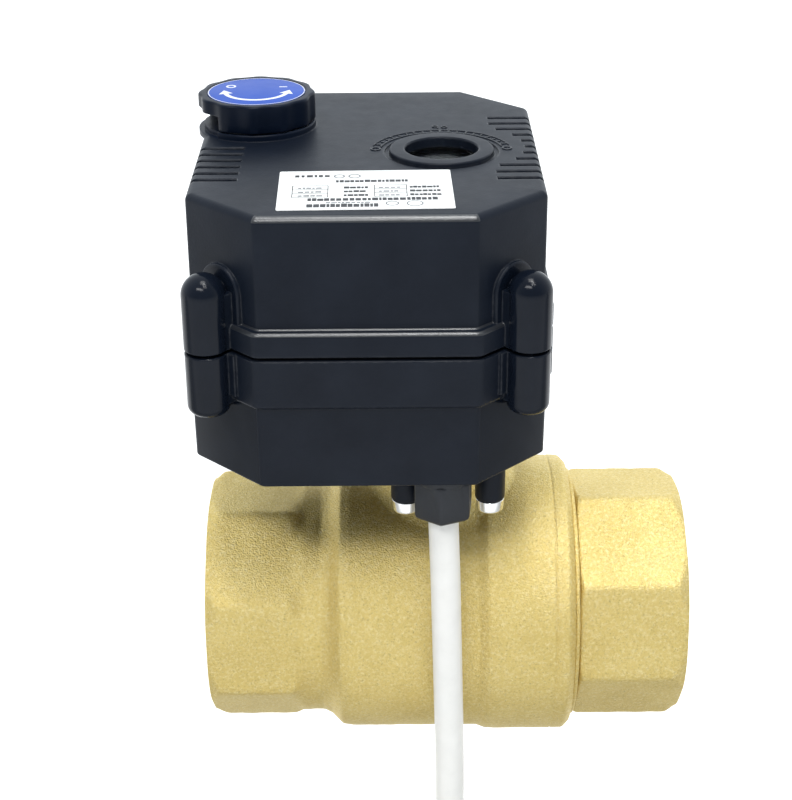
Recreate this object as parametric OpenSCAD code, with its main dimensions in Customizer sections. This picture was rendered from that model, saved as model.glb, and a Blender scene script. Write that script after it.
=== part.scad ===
// Quarter-turn motorized actuator on a two-piece brass ball valve.
// Frame: origin at the mouth of the inlet thread, on the pipe axis.
// +X runs down the pipe to the outlet, +Z runs up the stem, -Y is the cable side.

/* [Valve] */
// Face to face length along the pipe
face_to_face = 80.5; // [78:0.5:86]
// Across flats of both octagonal ends
oct_af = 40; // [39:0.5:41]
// Stem axis, measured from the inlet face
stem_x = 39.5; // [39:0.5:40]
// Minor radius of the pipe thread (G1)
thread_r = 15.15; // [14.9:0.05:15.3]
// Usable depth of the pipe thread
thread_len = 15; // [13:0.5:15]
// Radius of the flow port
port_r = 11; // [9:0.5:11]
// Radius of the ball
ball_r = 16.6; // [16.4:0.1:16.8]
// Turn of the screwed end piece where it came tight, degrees
end_turn = -9.5; // [-22:0.5:22]
// Turn of the octagon forged on the body, degrees
inlet_turn = -1.5; // [-3:0.5:3]

/* [Housing] */
// Height of the underside of the housing above the pipe axis
housing_z0 = 38.15; // [38.1:0.05:38.3]
// Height of the parting plane
part_z = 59.1; // [59:0.1:59.3]
// Height of the top face
top_z = 80.8; // [80.6:0.1:81.2]
// Width of the housing across the pipe direction
housing_w = 53.9; // [53.5:0.1:55]
// Depth of the housing, front to back
housing_d = 65.7; // [65:0.1:67]
// Corner chamfer, measured along each side
corner_cut = 10.8; // [10.4:0.1:11.2]
// Wall thickness
wall = 2; // [1.8:0.1:2.2]
// Step of the parting flange
flange_step = 1.4; // [1.2:0.1:1.6]

/* [Manual knob] */
// Outer radius of the knob over its lobes
knob_r = 9.6; // [9.2:0.1:9.8]
// Number of lobes
knob_lobes = 12; // [10:1:14]
// Height of the knob top above the housing top
knob_h = 5.75; // [5.5:0.05:6]

/* [Gear train] */
// Teeth of the output gear
z_out = 30; // [30:1:30]
// Teeth of the small wheel on the second gear
z_2s = 12; // [12:1:12]
// Teeth of the large wheel on the second gear
z_2l = 46; // [46:1:46]
// Teeth of the knob gear
z_knob = 22; // [22:1:22]
// Teeth of the small wheel on the first gear
z_1s = 12; // [12:1:12]
// Teeth of the large wheel on the first gear
z_1l = 36; // [36:1:36]
// Teeth of the motor pinion
z_m = 12; // [12:1:12]

/* [Cable] */
// Outer diameter of the cable
cable_d = 4.8; // [4.6:0.1:4.8]

/* [Hidden] */

// Housing limits about the stem axis
hx1 = 15.3;
hx0 = hx1 - housing_w;
hy0 = -30.5;
hy1 = hy0 + housing_d;
floor_z = housing_z0 + 2.05;
skirt_z = housing_z0 - 0.7;
band_z = part_z - 7.75;
ledge_z = part_z + 4.1;
joint = 0.25;            // half of the seal gap at the parting plane
tower_r = 3.35;
tower_off = 3.6;         // tower centre beyond the corner chamfer
// Shafts about the stem axis
knob_c = [-30, 15.2];
m1 = 0.8;                // module of the output stage
m2 = 0.5;                // module of the other stages
d_02 = m1 * (z_out + z_2s) / 2;
d_2k = m2 * (z_2l + z_knob) / 2;
d_0k = norm(knob_c);
a_2 = (d_02 * d_02 - d_2k * d_2k + d_0k * d_0k) / (2 * d_0k);
h_2 = sqrt(max(0, d_02 * d_02 - a_2 * a_2));
u_k = knob_c / d_0k;
n_k = [-u_k[1], u_k[0]];
g2_c = u_k * a_2 + n_k * h_2;
d_21 = m2 * (z_2l + z_1s) / 2;
g1_c = g2_c + d_21 * [cos(-95), sin(-95)];
d_1m = m2 * (z_1l + z_m) / 2;
mot_c = g1_c + d_1m * [cos(-130), sin(-130)];
pillar_pts = [[7.4, -20], [-6, -20], [7.4, 20], [-6, 20]];
spacer_pts = [[9, -15], [9, 13.5], [-17, 22], [-31, -4]];
gland_c = [-0.2, -25.6];
cable_r = cable_d / 2;
cable_x = 1.1;
cable_y = -27;

// Route of the cable from inside the gland down to the hank, about the stem axis
route = [[-0.2, -25.6, 42], [-0.2, -25.6, 36], [-0.2, -25.6, 30], [0, -25.7, 24], [0.2, -25.9, 18],
  [0.4, -26.2, 10], [0.6, -26.5, 2], [0.8, -26.7, -6], [1, -26.9, -14], [1.1, -27, -22], [1.1, -27, -31]];

module about_stem() { translate([stem_x, 0, 0]) children(); }
module along_x(x = 0) { translate([x, 0, 0]) rotate([0, 90, 0]) children(); }
module put(p, z = 0) { translate([p[0], p[1], z]) children(); }

// Chamfered rectangle of the housing, grown by d on every side
function oct_pts(d) = let (c = corner_cut + 0.5858 * d, a = hx0 - d, b = hx1 + d, e = hy0 - d, f = hy1 + d)
  [[a + c, e], [b - c, e], [b, e + c], [b, f - c], [b - c, f], [a + c, f], [a, f - c], [a, e + c]];
module oct_slab(z0, z1, d) { translate([0, 0, z0]) linear_extrude(z1 - z0) polygon(oct_pts(d)); }

// Corner towers: centre and outward direction of each
corner_mid = [[hx1 - corner_cut / 2, hy0 + corner_cut / 2, -45], [hx0 + corner_cut / 2, hy0 + corner_cut / 2, -135],
  [hx0 + corner_cut / 2, hy1 - corner_cut / 2, 135], [hx1 - corner_cut / 2, hy1 - corner_cut / 2, 45]];
module at_towers() { for (c = corner_mid) translate([c[0], c[1], 0]) rotate([0, 0, c[2]]) children(); }

// Gear outline: tooth 0 points along +X
function gear_pts(z, m, slim) = let (r = m * z / 2, ra = r + 0.84 * m, rr = r - 1.12 * m, p = 360 / z, w = p * slim)
  [for (i = [0:z - 1]) for (q = [[rr, -0.72 * w], [r - 0.25 * m, -0.56 * w], [r + 0.3 * m, -0.42 * w], [ra, -0.24 * w],
      [ra, 0.24 * w], [r + 0.3 * m, 0.42 * w], [r - 0.25 * m, 0.56 * w], [rr, 0.72 * w]])
    q[0] * [cos(i * p + q[1]), sin(i * p + q[1])]];
module gear(z, m, h, turn, slim = 0.45) { rotate([0, 0, turn]) linear_extrude(h) polygon(gear_pts(z, m, slim)); }
function dir(a, b) = atan2(b[1] - a[1], b[0] - a[0]);
function wrap(a, p) = a - p * floor(a / p);
// Turn of a follower that meshes with a gear (za teeth, turned ta) lying in direction f from it
function mate(za, ta, zb, f) = f + 180 + wrap(f - ta, 360 / za) * za / zb + 180 / zb;
t_out = 6;
t_2s = mate(z_out, t_out, z_2s, dir([0, 0], g2_c));
t_2l = t_2s;
t_k = mate(z_2l, t_2l, z_knob, dir(g2_c, knob_c));
t_1s = mate(z_2l, t_2l, z_1s, dir(g2_c, g1_c));
t_1l = t_1s;
t_m = mate(z_1l, t_1l, z_m, dir(g1_c, mot_c));

module ring(ro, ri, h) { difference() { cylinder(r = ro, h = h, $fn = 64); translate([0, 0, -1]) cylinder(r = ri, h = h + 2, $fn = 64); } }
module o_ring(mid, sec) { rotate_extrude($fn = 64) translate([mid, 0]) circle(r = sec, $fn = 24); }
module screw(head_r, head_h, shank_r, len) { // head below, shank up
  difference() {
    union() { cylinder(r = head_r, h = head_h, $fn = 40); cylinder(r = shank_r, h = head_h + len, $fn = 24); }
    for (a = [0, 90]) rotate([0, 0, a]) translate([-head_r * 0.62, -0.3, -0.1]) cube([head_r * 1.24, 0.6, 0.9]);
  }
}

// ---------------------------------------------------------------- valve
module oct_end(x0, x1, turn, open_low) {
  intersection() {
    along_x(x0) rotate([0, 0, 22.5 + turn]) cylinder(r = oct_af / 2 / cos(22.5), h = x1 - x0, $fn = 8);
    along_x(x0) rotate_extrude($fn = 96) polygon(open_low ?
      [[0, 0], [20.2, 0], [20.9, 0.4], [21.8, 1.9], [21.8, x1 - x0], [0, x1 - x0]] :
      [[0, 0], [21.8, 0], [21.8, x1 - x0 - 1.9], [20.9, x1 - x0 - 0.4], [20.2, x1 - x0], [0, x1 - x0]]);
  }
}

module valve_body() {
  color("goldenrod") difference() {
    union() {
      oct_end(0, 15.8, inlet_turn, true);
      along_x(15) rotate_extrude($fn = 96) polygon([[0, 0], [20.5, 0], [20.5, 4.4], [21.2, 5.4], [22.9, 6.9],
        [23.3, 8], [23.3, 30.6], [23.95, 32.1], [23.95, 45.0], [23.5, 46.0], [22.9, 46.4], [0, 46.4]]);
      about_stem() {
        cylinder(r = 10.5, h = housing_z0 - 0.05, $fn = 64);
        cylinder(r = 7, h = 44.2, $fn = 64);
      }
    }
    along_x(-1) cylinder(r = thread_r, h = thread_len + 1, $fn = 96);
    along_x(thread_len - 1) cylinder(r = port_r, h = 12, $fn = 96);
    along_x(22) cylinder(r = 18, h = 36, $fn = 96);
    along_x(57) cylinder(r = 20, h = 8, $fn = 96);
    about_stem() {
      cylinder(r = 7.2, h = 19.4, $fn = 64);
      cylinder(r = 4.55, h = 60, $fn = 64);
      for (s = [-1, 1]) translate([0, 9 * s, 34]) cylinder(r = 0.8, h = 6, $fn = 24);
    }
  }
}

module end_connector() {
  color("goldenrod") difference() {
    union() {
      oct_end(62.3, face_to_face, end_turn, false);
      along_x(57.05) cylinder(r = 19.92, h = 6, $fn = 96);
    }
    along_x(face_to_face - thread_len) cylinder(r = thread_r, h = thread_len + 1, $fn = 96);
    along_x(50) cylinder(r = port_r, h = 20, $fn = 96);
  }
}

module end_connector_seal() { color("whitesmoke") along_x(61.45) ring(21.6, 19.97, 0.8); }

module ball() {
  color("silver") about_stem() difference() {
    sphere(r = ball_r, $fn = 96);
    along_x(-30) cylinder(r = port_r, h = 60, $fn = 96);
    translate([-2.5, -20, 12.8]) cube([5, 40, 10]);
  }
}

module seat(s) {
  color("white") about_stem() difference() {
    along_x(s < 0 ? -17.45 : 10.9) cylinder(r = 17.9, h = 6.55, $fn = 96);
    along_x(-30) cylinder(r = port_r + 0.2, h = 60, $fn = 96);
    sphere(r = ball_r + 0.05, $fn = 96);
  }
}
module seat_inlet() { seat(-1); }
module seat_outlet() { seat(1); }

module stem() {
  color("lightgray") about_stem() difference() {
    union() {
      intersection() {
        translate([-2.45, -4.4, 12.95]) cube([4.9, 8.8, 5]);
        cylinder(r = 4.5, h = 40, $fn = 64);
      }
      translate([0, 0, 16.95]) cylinder(r = 6.6, h = 1.4, $fn = 64);
      translate([0, 0, 17]) cylinder(r = 4.5, h = 20.9, $fn = 64);
      translate([-3.15, -3.15, 37]) cube([6.3, 6.3, 14.8]);
    }
    for (z = [24, 29]) translate([0, 0, z - 0.55]) difference() { cylinder(r = 6, h = 1.1, $fn = 64); cylinder(r = 3.6, h = 1.1, $fn = 64); }
  }
}
module stem_o_rings() { color("black") about_stem() for (z = [24, 29]) translate([0, 0, z]) o_ring(4.06, 0.44); }
module thrust_washer() { color("white") about_stem() translate([0, 0, 18.4]) ring(7.1, 4.6, 0.95); }
module tower_washer() { color("silver") about_stem() translate([0, 0, floor_z + 0.02]) ring(10.5, 7.1, 0.7); }
module tower_nut() {
  color("goldenrod") about_stem() translate([0, 0, floor_z + 0.74]) difference() {
    cylinder(r = 19 / 2 / cos(30), h = 3.2, $fn = 6);
    translate([0, 0, -1]) cylinder(r = 7.05, h = 6, $fn = 64);
  }
}
module locating_pins() { color("silver") about_stem() for (s = [-1, 1]) translate([0, 9 * s, 34.1]) cylinder(r = 0.75, h = 5.9, $fn = 24); }

// ---------------------------------------------------------------- housing
module lower_housing() {
  color("#26282b") about_stem() difference() {
    union() {
      oct_slab(skirt_z, housing_z0 + 0.01, 0.4);
      oct_slab(housing_z0, housing_z0 + 0.9, 0.5);
      oct_slab(housing_z0 + 0.9, band_z, 0.6);
      oct_slab(band_z, part_z - joint, flange_step);
      at_towers() {
        translate([tower_off, 0, 48.75]) cylinder(r = tower_r - 0.05, h = part_z - joint - 48.75, $fn = 48);
        translate([-1, -3, 50.4]) cube([tower_off + 1, 6, part_z - joint - 50.4]);
        translate([-1, -4.25, 52]) cube([3, 8.5, part_z - joint - 52]);
      }
      for (p = pillar_pts) put(p, 29.7) cylinder(r = 2.45, h = 9.5, $fn = 40);
    }
    oct_slab(floor_z, 80, -1.8);
    difference() { oct_slab(skirt_z - 1, housing_z0, -1.9); for (p = pillar_pts) put(p, 28) cylinder(r = 2.45, h = 11, $fn = 40); }
    put(gland_c, skirt_z - 1) cylinder(r = 4.7, h = housing_z0 - skirt_z + 1, $fn = 48);
    translate([0, 0, 30]) cylinder(r = 7.1, h = 20, $fn = 64);
    for (s = [-1, 1]) translate([0, 9 * s, 37]) cylinder(r = 0.8, h = 6, $fn = 24);
    for (p = pillar_pts) put(p, 20) cylinder(r = 1.6, h = 30, $fn = 24);
    put(gland_c, 30) cylinder(r = 3.25, h = 20, $fn = 48);
    at_towers() translate([tower_off, 0, 0]) { translate([0, 0, 40]) cylinder(r = 2.2, h = 11, $fn = 40); cylinder(r = 1.3, h = 70, $fn = 24); }
  }
}

module groove(x0, x1, y) {
  translate([x0, y - 0.6, top_z - 0.55]) cube([x1 - x0, 1.2, 2]);
  translate([x1 > 0 ? hx1 - 0.5 : hx0 - 2, y - 0.6, top_z - 2.6]) cube([2.5, 1.2, 4]);
}

module upper_cover() {
  color("#26282b") about_stem() difference() {
    union() {
      difference() {
        union() {
          oct_slab(part_z + joint, ledge_z, flange_step);
          oct_slab(ledge_z - 0.01, top_z - 1.2, 0);
          oct_slab(top_z - 1.3, top_z - 0.5, -0.25);
          oct_slab(top_z - 0.6, top_z, -0.9);
          at_towers() {
            translate([tower_off, 0, part_z + joint]) cylinder(r = tower_r, h = 67.9 - part_z - joint, $fn = 48);
            translate([tower_off, 0, 67.9]) sphere(r = tower_r, $fn = 48);
            translate([-0.8, -4.25, part_z + joint]) cube([1.5, 8.5, 67.6 - part_z - joint]);
            translate([-0.8, 0, 67.6]) rotate([0, 90, 0]) cylinder(r = 4.25, h = 1.5, $fn = 48);
            translate([-0.8, -3, part_z + joint]) cube([tower_off + 0.8, 6, 68.2 - part_z - joint]);
          }
        }
        oct_slab(50, top_z - wall, -wall);
        for (k = [0:10]) let (y = 18.1 - 3.15 * k) groove(max(8.2, sqrt(max(0, 156 - (y - 2.5) * (y - 2.5))) + 0.9), hx1 + 2, y);
        for (k = [5:10]) groove(hx0 - 2, -31.3, 18.1 - 3.15 * k);
      }
      // window boss and its raised rim
      translate([0, 0, 75.05]) cylinder(r = 9, h = 5, $fn = 64);
      translate([0, 0, top_z - 0.5]) cylinder(r = 8.25, h = 1.1, $fn = 96);
      // knob collar, standing past the side wall
      put(knob_c, top_z - 0.6) cylinder(r = 9.7, h = 1.6, $fn = 96);
      // shaft guide under the collar
      put(knob_c, 74) cylinder(r = 5, h = 5, $fn = 64);
    }
    translate([0, 0, 70]) cylinder(r = 7, h = 9.7, $fn = 64);
    translate([0, 0, 70]) cylinder(r = 5.75, h = 14, $fn = 64);
    put(knob_c, 70) cylinder(r = 3.05, h = 14, $fn = 64);
    at_towers() translate([tower_off, 0, 50]) cylinder(r = 1.05, h = 17, $fn = 24);
    put(knob_c, top_z + 0.01) linear_extrude(6) polygon(concat([for (a = [150:8.2:232]) 8.8 * [cos(a), sin(a)]], [for (a = [232:-8.2:150]) 14 * [cos(a), sin(a)]]));
  }
}

module housing_seal() { color("dimgray") about_stem() difference() { oct_slab(part_z - joint, part_z + joint, 0.4); oct_slab(part_z - 1, part_z + 1, -1); } }

module cover_screws() { color("silver") about_stem() at_towers() translate([tower_off, 0, 48.85]) screw(2.1, 2, 1, 14.5); }
module gearbox_screws() { color("silver") about_stem() for (p = pillar_pts) put(p, 27.5) screw(2.3, 2.2, 1.45, 17.3); }

// ---------------------------------------------------------------- gear frame
module pillars() {
  color("silver") about_stem() for (p = pillar_pts) put(p, floor_z + 0.02) difference() {
    cylinder(r = 2.6, h = 54.48 - floor_z - 0.02, $fn = 48);
    translate([0, 0, -1]) cylinder(r = 1.5, h = 8.5, $fn = 24);
    translate([0, 0, 8.5]) cylinder(r = 1.05, h = 10, $fn = 24);
  }
}

module plate(pts, z, h) { translate([0, 0, z]) linear_extrude(h) polygon(pts); }
module lower_plate() {
  color("gainsboro") about_stem() difference() {
    plate([[8, -23], [11.5, -19.5], [11.5, 24], [-22, 27], [-35.5, 21], [-35.5, -14], [-26, -27], [-22, -27], [-18, -23]], 54.5, 1.5);
    translate([0, 0, 50]) cylinder(r = 5, h = 10, $fn = 64);
    put(g2_c, 50) cylinder(r = 1.5, h = 10, $fn = 32);
    put(g1_c, 50) cylinder(r = 1.5, h = 10, $fn = 32);
    put(knob_c, 50) cylinder(r = 1.55, h = 10, $fn = 32);
    put(mot_c, 50) cylinder(r = 2.6, h = 10, $fn = 32);
    for (p = pillar_pts) put(p, 50) cylinder(r = 1.2, h = 10, $fn = 24);
    for (p = spacer_pts) put(p, 50) cylinder(r = 1.05, h = 10, $fn = 24);
  }
}
module upper_plate() {
  color("gainsboro") about_stem() difference() {
    plate([[11.5, -18], [11.5, 20], [-17, 25], [-24, 21], [-24, 8], [-34, 0], [-34, -8], [-30, -14], [-20, -18]], 68.5, 1.2);
    translate([0, 0, 60]) cylinder(r = 3.06, h = 20, $fn = 64);
    put(g2_c, 60) cylinder(r = 1.5, h = 10, $fn = 32);
    put(g1_c, 60) cylinder(r = 1.5, h = 10, $fn = 32);
    for (p = spacer_pts) put(p, 60) cylinder(r = 1.05, h = 10, $fn = 24);
  }
}
module plate_spacers() {
  color("gold") about_stem() for (p = spacer_pts) put(p, 56.02) difference() {
    cylinder(r = 1.9, h = 12.46, $fn = 6);
    translate([0, 0, -1]) cylinder(r = 1.05, h = 20, $fn = 24);
  }
}
module plate_screws() {
  color("silver") about_stem() {
    for (p = pillar_pts) put(p, 58.2) mirror([0, 0, 1]) screw(2, 2.15, 1, 5);
    for (p = spacer_pts) put(p, 52.9) screw(1.8, 1.55, 1, 6);
    put(spacer_pts[3], 71.3) mirror([0, 0, 1]) screw(1.8, 1.55, 1, 6);
  }
}
module output_bush() { color("peru") about_stem() translate([0, 0, 54.4]) { ring(4.97, 4.05, 1.7); } }
module gear_axles() { color("silver") about_stem() for (c = [g2_c, g1_c]) put(c, 54.5) cylinder(r = 1.48, h = 15.2, $fn = 40); }

module output_shaft() {
  color("silver") about_stem() difference() {
    union() {
      translate([0, 0, 44.7]) cylinder(r = 6, h = 9.5, $fn = 64);
      translate([0, 0, 54]) cylinder(r = 4, h = 7.6, $fn = 64);
      translate([0, 0, 61]) cylinder(r = 3, h = 11.2, $fn = 64);
      translate([0, 0, 72]) cylinder(r = 2.2, h = 2.9, $fn = 48);
      translate([0, 0, 74]) cylinder(r = 1.45, h = 1.5, $fn = 32);
      translate([0, 0, 57.2]) cylinder(r = 5.2, h = 0.75, $fn = 64);
    }
    translate([-3.2, -3.2, 40]) cube([6.4, 6.4, 12]);
  }
}
module output_gear() {
  color("ivory") about_stem() difference() {
    translate([0, 0, 58]) gear(z_out, m1, 3.4, t_out);
    translate([0, 0, 50]) cylinder(r = 4.02, h = 20, $fn = 64);
  }
}
module second_gear() {
  color("ivory") about_stem() put(g2_c) difference() {
    union() {
      translate([0, 0, 57.9]) gear(z_2s, m1, 4.2, t_2s);
      translate([0, 0, 62]) gear(z_2l, m2, 2.4, t_2l);
      translate([0, 0, 56.2]) cylinder(r = 2.9, h = 12, $fn = 48);
    }
    translate([0, 0, 50]) cylinder(r = 1.54, h = 30, $fn = 40);
  }
}
module first_gear() {
  color("ivory") about_stem() put(g1_c) difference() {
    union() {
      translate([0, 0, 61.9]) gear(z_1s, m2, 3.2, t_1s);
      translate([0, 0, 64.9]) gear(z_1l, m2, 2, t_1l);
      translate([0, 0, 56.2]) cylinder(r = 2.3, h = 12, $fn = 48);
    }
    translate([0, 0, 50]) cylinder(r = 1.54, h = 30, $fn = 40);
  }
}
module motor_pinion() {
  color("gold") about_stem() put(mot_c) difference() {
    translate([0, 0, 64.7]) gear(z_m, m2, 2.4, t_m);
    translate([0, 0, 50]) cylinder(r = 1, h = 30, $fn = 32);
  }
}
module motor() {
  color("silver") about_stem() put(mot_c) difference() {
    union() {
      translate([0, 0, 41.2]) cylinder(r = 8, h = 13.25, $fn = 64);
      translate([0, 0, 54]) cylinder(r = 2.5, h = 2.2, $fn = 40);
    }
    translate([0, 0, 48]) cylinder(r = 1.05, h = 20, $fn = 32);
  }
}
module motor_shaft() { color("silver") about_stem() put(mot_c, 48.5) cylinder(r = 0.99, h = 18.8, $fn = 32); }

module knob_gear() {
  color("ivory") about_stem() put(knob_c) difference() {
    translate([0, 0, 62]) gear(z_knob, m2, 2.4, t_k);
    translate([0, 0, 50]) cylinder(r = 3.01, h = 30, $fn = 48);
  }
}
module knob_shaft() {
  color("silver") about_stem() put(knob_c) difference() {
    union() {
      translate([0, 0, 54.5]) cylinder(r = 1.5, h = 8, $fn = 40);
      translate([0, 0, 60.5]) cylinder(r = 3, h = 24.4, $fn = 64);
      translate([0, 0, 60.5]) cylinder(r = 4.2, h = 1.4, $fn = 64);
    }
    translate([0, 0, 76.4]) ring(5, 2.2, 1);
  }
}
module knob_o_ring() { color("black") about_stem() put(knob_c, 76.9) o_ring(2.61, 0.4); }
function lobe_pts() = [for (i = [0:143]) let (a = i * 2.5, r = knob_r - 0.3 + 0.3 * cos(knob_lobes * a)) r * [cos(a), sin(a)]];
module manual_knob() {
  color("#1c1d1f") about_stem() put(knob_c) difference() {
    translate([0, 0, 82]) linear_extrude(top_z + knob_h - 82) polygon(lobe_pts());
    translate([0, 0, 81]) difference() { cylinder(r = 8.1, h = 3.3, $fn = 64); cylinder(r = 4.4, h = 3.3, $fn = 48); }
    translate([0, 0, 81]) cylinder(r = 3.01, h = 4, $fn = 64);
    translate([0, 0, top_z + knob_h - 0.2]) cylinder(r = 8.1, h = 1, $fn = 96);
    translate([0, 0, 81]) linear_extrude(3.3) polygon([[0, 0], 14 * [cos(150), sin(150)], 16 * [cos(190), sin(190)], 14 * [cos(232), sin(232)]]);
  }
}
module knob_sticker() { color("#3558c8") about_stem() put(knob_c, top_z + knob_h - 0.2) cylinder(r = 8, h = 0.15, $fn = 96); }

module indicator_disc() {
  color("lightgray") about_stem() difference() {
    union() { translate([0, 0, 74.95]) cylinder(r = 5.6, h = 1, $fn = 64); translate([-4.8, -0.5, 75.9]) cube([9.6, 1, 0.25]); }
    translate([0, 0, 70]) cylinder(r = 1.5, h = 5.55, $fn = 32);
  }
}
module indicator_window() { color("lightcyan", 0.5) about_stem() translate([0, 0, 78.5]) cylinder(r = 6.92, h = 0.8, $fn = 64); }
module window_seal() { color("black") about_stem() translate([0, 0, 79.3]) ring(6.92, 6.1, 0.4); }

module switch_cam() {
  color("orangered") about_stem() translate([0, 0, 70]) difference() {
    union() {
      cylinder(r = 5, h = 1.9, $fn = 64);
      intersection() {
        cylinder(r = 6.3, h = 1.9, $fn = 64);
        rotate([0, 0, -90]) linear_extrude(1.9) polygon([[0, 0], [10, -5], [10, 5]]);
      }
    }
    translate([0, 0, -1]) cylinder(r = 3.01, h = 5, $fn = 64);
  }
}
module limit_switch(a) {
  color("#202020") about_stem() rotate([0, 0, a]) difference() {
    translate([9, -6.4, 69.75]) cube([5.8, 12.8, 3.6]);
    translate([8, -0.9, 70.2]) cube([3.2, 1.8, 1.6]);
  }
}
module limit_switch_open() { limit_switch(-90); }
module limit_switch_closed() { limit_switch(180); }
module plunger(a) { color("red") about_stem() rotate([0, 0, a]) translate([6.6, -0.8, 70.3]) cube([3.9, 1.6, 1.4]); }
module plunger_open() { plunger(-90); }
module plunger_closed() { plunger(180); }

// ---------------------------------------------------------------- electronics
module circuit_board() {
  color("darkgreen") about_stem() difference() {
    plate([[12, -17], [12, 22], [3, 30], [-23, 30], [-23, 9], [-33, 0], [-33, -15], [-24, -26.5], [4, -26.5]], 73.4, 1.2);
    translate([0, 0, 70]) cylinder(r = 3.2, h = 10, $fn = 48);
    for (i = [0:2]) put(spacer_pts[i], 70) cylinder(r = 1.1, h = 10, $fn = 24);
  }
}
module board_parts() {
  color("#30343a") about_stem() {
    translate([-29, -14, 74.62]) cube([11, 8, 3.6]);
    translate([-14, -24, 74.62]) cube([9, 6, 2.4]);
    translate([-6, 14, 74.62]) cube([8, 8, 3]);
    translate([-17, 12, 74.62]) cylinder(r = 2.6, h = 3.8, $fn = 40);
    translate([-2.4, -26, 74.62]) cube([6, 4, 3.2]);
  }
}
module board_standoffs() {
  color("gold") about_stem() for (i = [0:2]) put(spacer_pts[i], 69.72) difference() {
    union() { cylinder(r = 1.9, h = 3.66, $fn = 6); translate([0, 0, -3.5]) cylinder(r = 1, h = 4, $fn = 24); }
    translate([0, 0, 1]) cylinder(r = 1.05, h = 5, $fn = 24);
  }
}
module board_screws() { color("silver") about_stem() for (i = [0:2]) put(spacer_pts[i], 76.1) mirror([0, 0, 1]) screw(1.8, 1.48, 1, 2.8); }
module rating_label() {
  color("white") about_stem() translate([-11.8, -18.6, top_z]) rotate([0, 0, 1]) translate([-13, -8.9, 0]) cube([26, 17.8, 0.12]);
}

// ---------------------------------------------------------------- cable
module cable_gland() {
  color("#26282b") about_stem() put(gland_c) difference() {
    union() {
      translate([0, 0, 29.8]) rotate([0, 0, 24]) cylinder(r = 4.95, h = 6.7, $fn = 6);
      translate([0, 0, 36]) cylinder(r = 4.5, h = housing_z0 - 36, $fn = 64);
      translate([0, 0, 36]) cylinder(r = 3.2, h = 5.2, $fn = 64);
    }
    translate([0, 0, 20]) cylinder(r = cable_r + 0.05, h = 30, $fn = 64);
  }
}
module inner_leads() { color("firebrick") about_stem() for (i = [-1:1]) translate([gland_c[0] + 1.3 * i, gland_c[1], 42.02]) cylinder(r = 0.5, h = 31.34, $fn = 24); }

function unit(v) = v / norm(v);
function tangent(i) = unit(route[min(i + 1, len(route) - 1)] - route[max(i - 1, 0)]);
cable_sides = 10;
function ring_at(i) = let (t = i == 0 || i == len(route) - 1 ? [0, 0, -1] : tangent(i), s = unit(cross(t, [0, 1, 0])), w = cross(t, s))
  [for (k = [0:cable_sides - 1]) route[i] + cable_r * (s * cos(360 * k / cable_sides) + w * sin(360 * k / cable_sides))];
module cable() {
  n = len(route);
  m = cable_sides;
  color("white") about_stem() polyhedron(
    points = [for (i = [0:n - 1]) each ring_at(i)],
    faces = concat([[for (k = [0:m - 1]) m - 1 - k]], [[for (k = [0:m - 1]) (n - 1) * m + k]],
      [for (i = [0:n - 2]) for (k = [0:m - 1]) let (a = i * m + k, b = i * m + (k + 1) % m) each [[a, b, b + m], [a, b + m, a + m]]]));
}
// The spare length, wound lengthways in line with the hanging run
loop_r = 14.4;
loop_z0 = -47;
loop_z1 = -89.6;
layers = -10;            // from the first layer to the last, along Y
tail_z = -118;
module cable_hank() {
  color("white") about_stem() translate([cable_x, cable_y, 0]) {
    translate([-loop_r, cable_r, 0]) rotate([90, 0, 0]) linear_extrude(-layers + cable_d) union() {
      translate([0, loop_z0]) circle(r = loop_r + cable_r, $fn = 64);
      translate([0, loop_z1]) circle(r = loop_r + cable_r, $fn = 64);
      translate([-loop_r - cable_r, loop_z1]) square([2 * (loop_r + cable_r), loop_z0 - loop_z1]);
    }
    translate([0, 0, loop_z0]) cylinder(r = cable_r, h = -31 - loop_z0, $fn = 40);
    translate([0, layers, tail_z]) cylinder(r = cable_r, h = 30, $fn = 40);
  }
}
module cable_tie() {
  w = loop_r + cable_r + 0.15;
  color("#202020") about_stem() translate([cable_x - loop_r, cable_y + layers / 2, -72]) difference() {
    translate([-w - 0.9, layers / 2 - cable_r - 1.05, 0]) cube([2 * w + 1.8, -layers + cable_d + 2.1, 8]);
    translate([-w, layers / 2 - cable_r - 0.15, -1]) cube([2 * w, -layers + cable_d + 0.3, 10]);
  }
}
module wire_ends() {
  color("firebrick") about_stem() for (i = [0:2]) translate([cable_x + 1.1 * cos(90 + 120 * i), cable_y + layers + 1.1 * sin(90 + 120 * i), tail_z - 14]) cylinder(r = 0.75, h = 13.98, $fn = 24);
}

valve_body();
end_connector();
end_connector_seal();
ball();
seat_inlet();
seat_outlet();
stem();
stem_o_rings();
thrust_washer();
tower_washer();
tower_nut();
locating_pins();
lower_housing();
upper_cover();
housing_seal();
cover_screws();
gearbox_screws();
pillars();
lower_plate();
upper_plate();
plate_spacers();
plate_screws();
output_bush();
gear_axles();
output_shaft();
output_gear();
second_gear();
first_gear();
motor_pinion();
motor();
motor_shaft();
knob_gear();
knob_shaft();
knob_o_ring();
manual_knob();
knob_sticker();
indicator_disc();
indicator_window();
window_seal();
switch_cam();
limit_switch_open();
limit_switch_closed();
plunger_open();
plunger_closed();
circuit_board();
board_parts();
board_standoffs();
board_screws();
rating_label();
cable_gland();
inner_leads();
cable();
cable_hank();
cable_tie();
wire_ends();
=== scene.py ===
import math

import bmesh
import bpy
import numpy as np
from mathutils import Matrix, Vector


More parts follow.
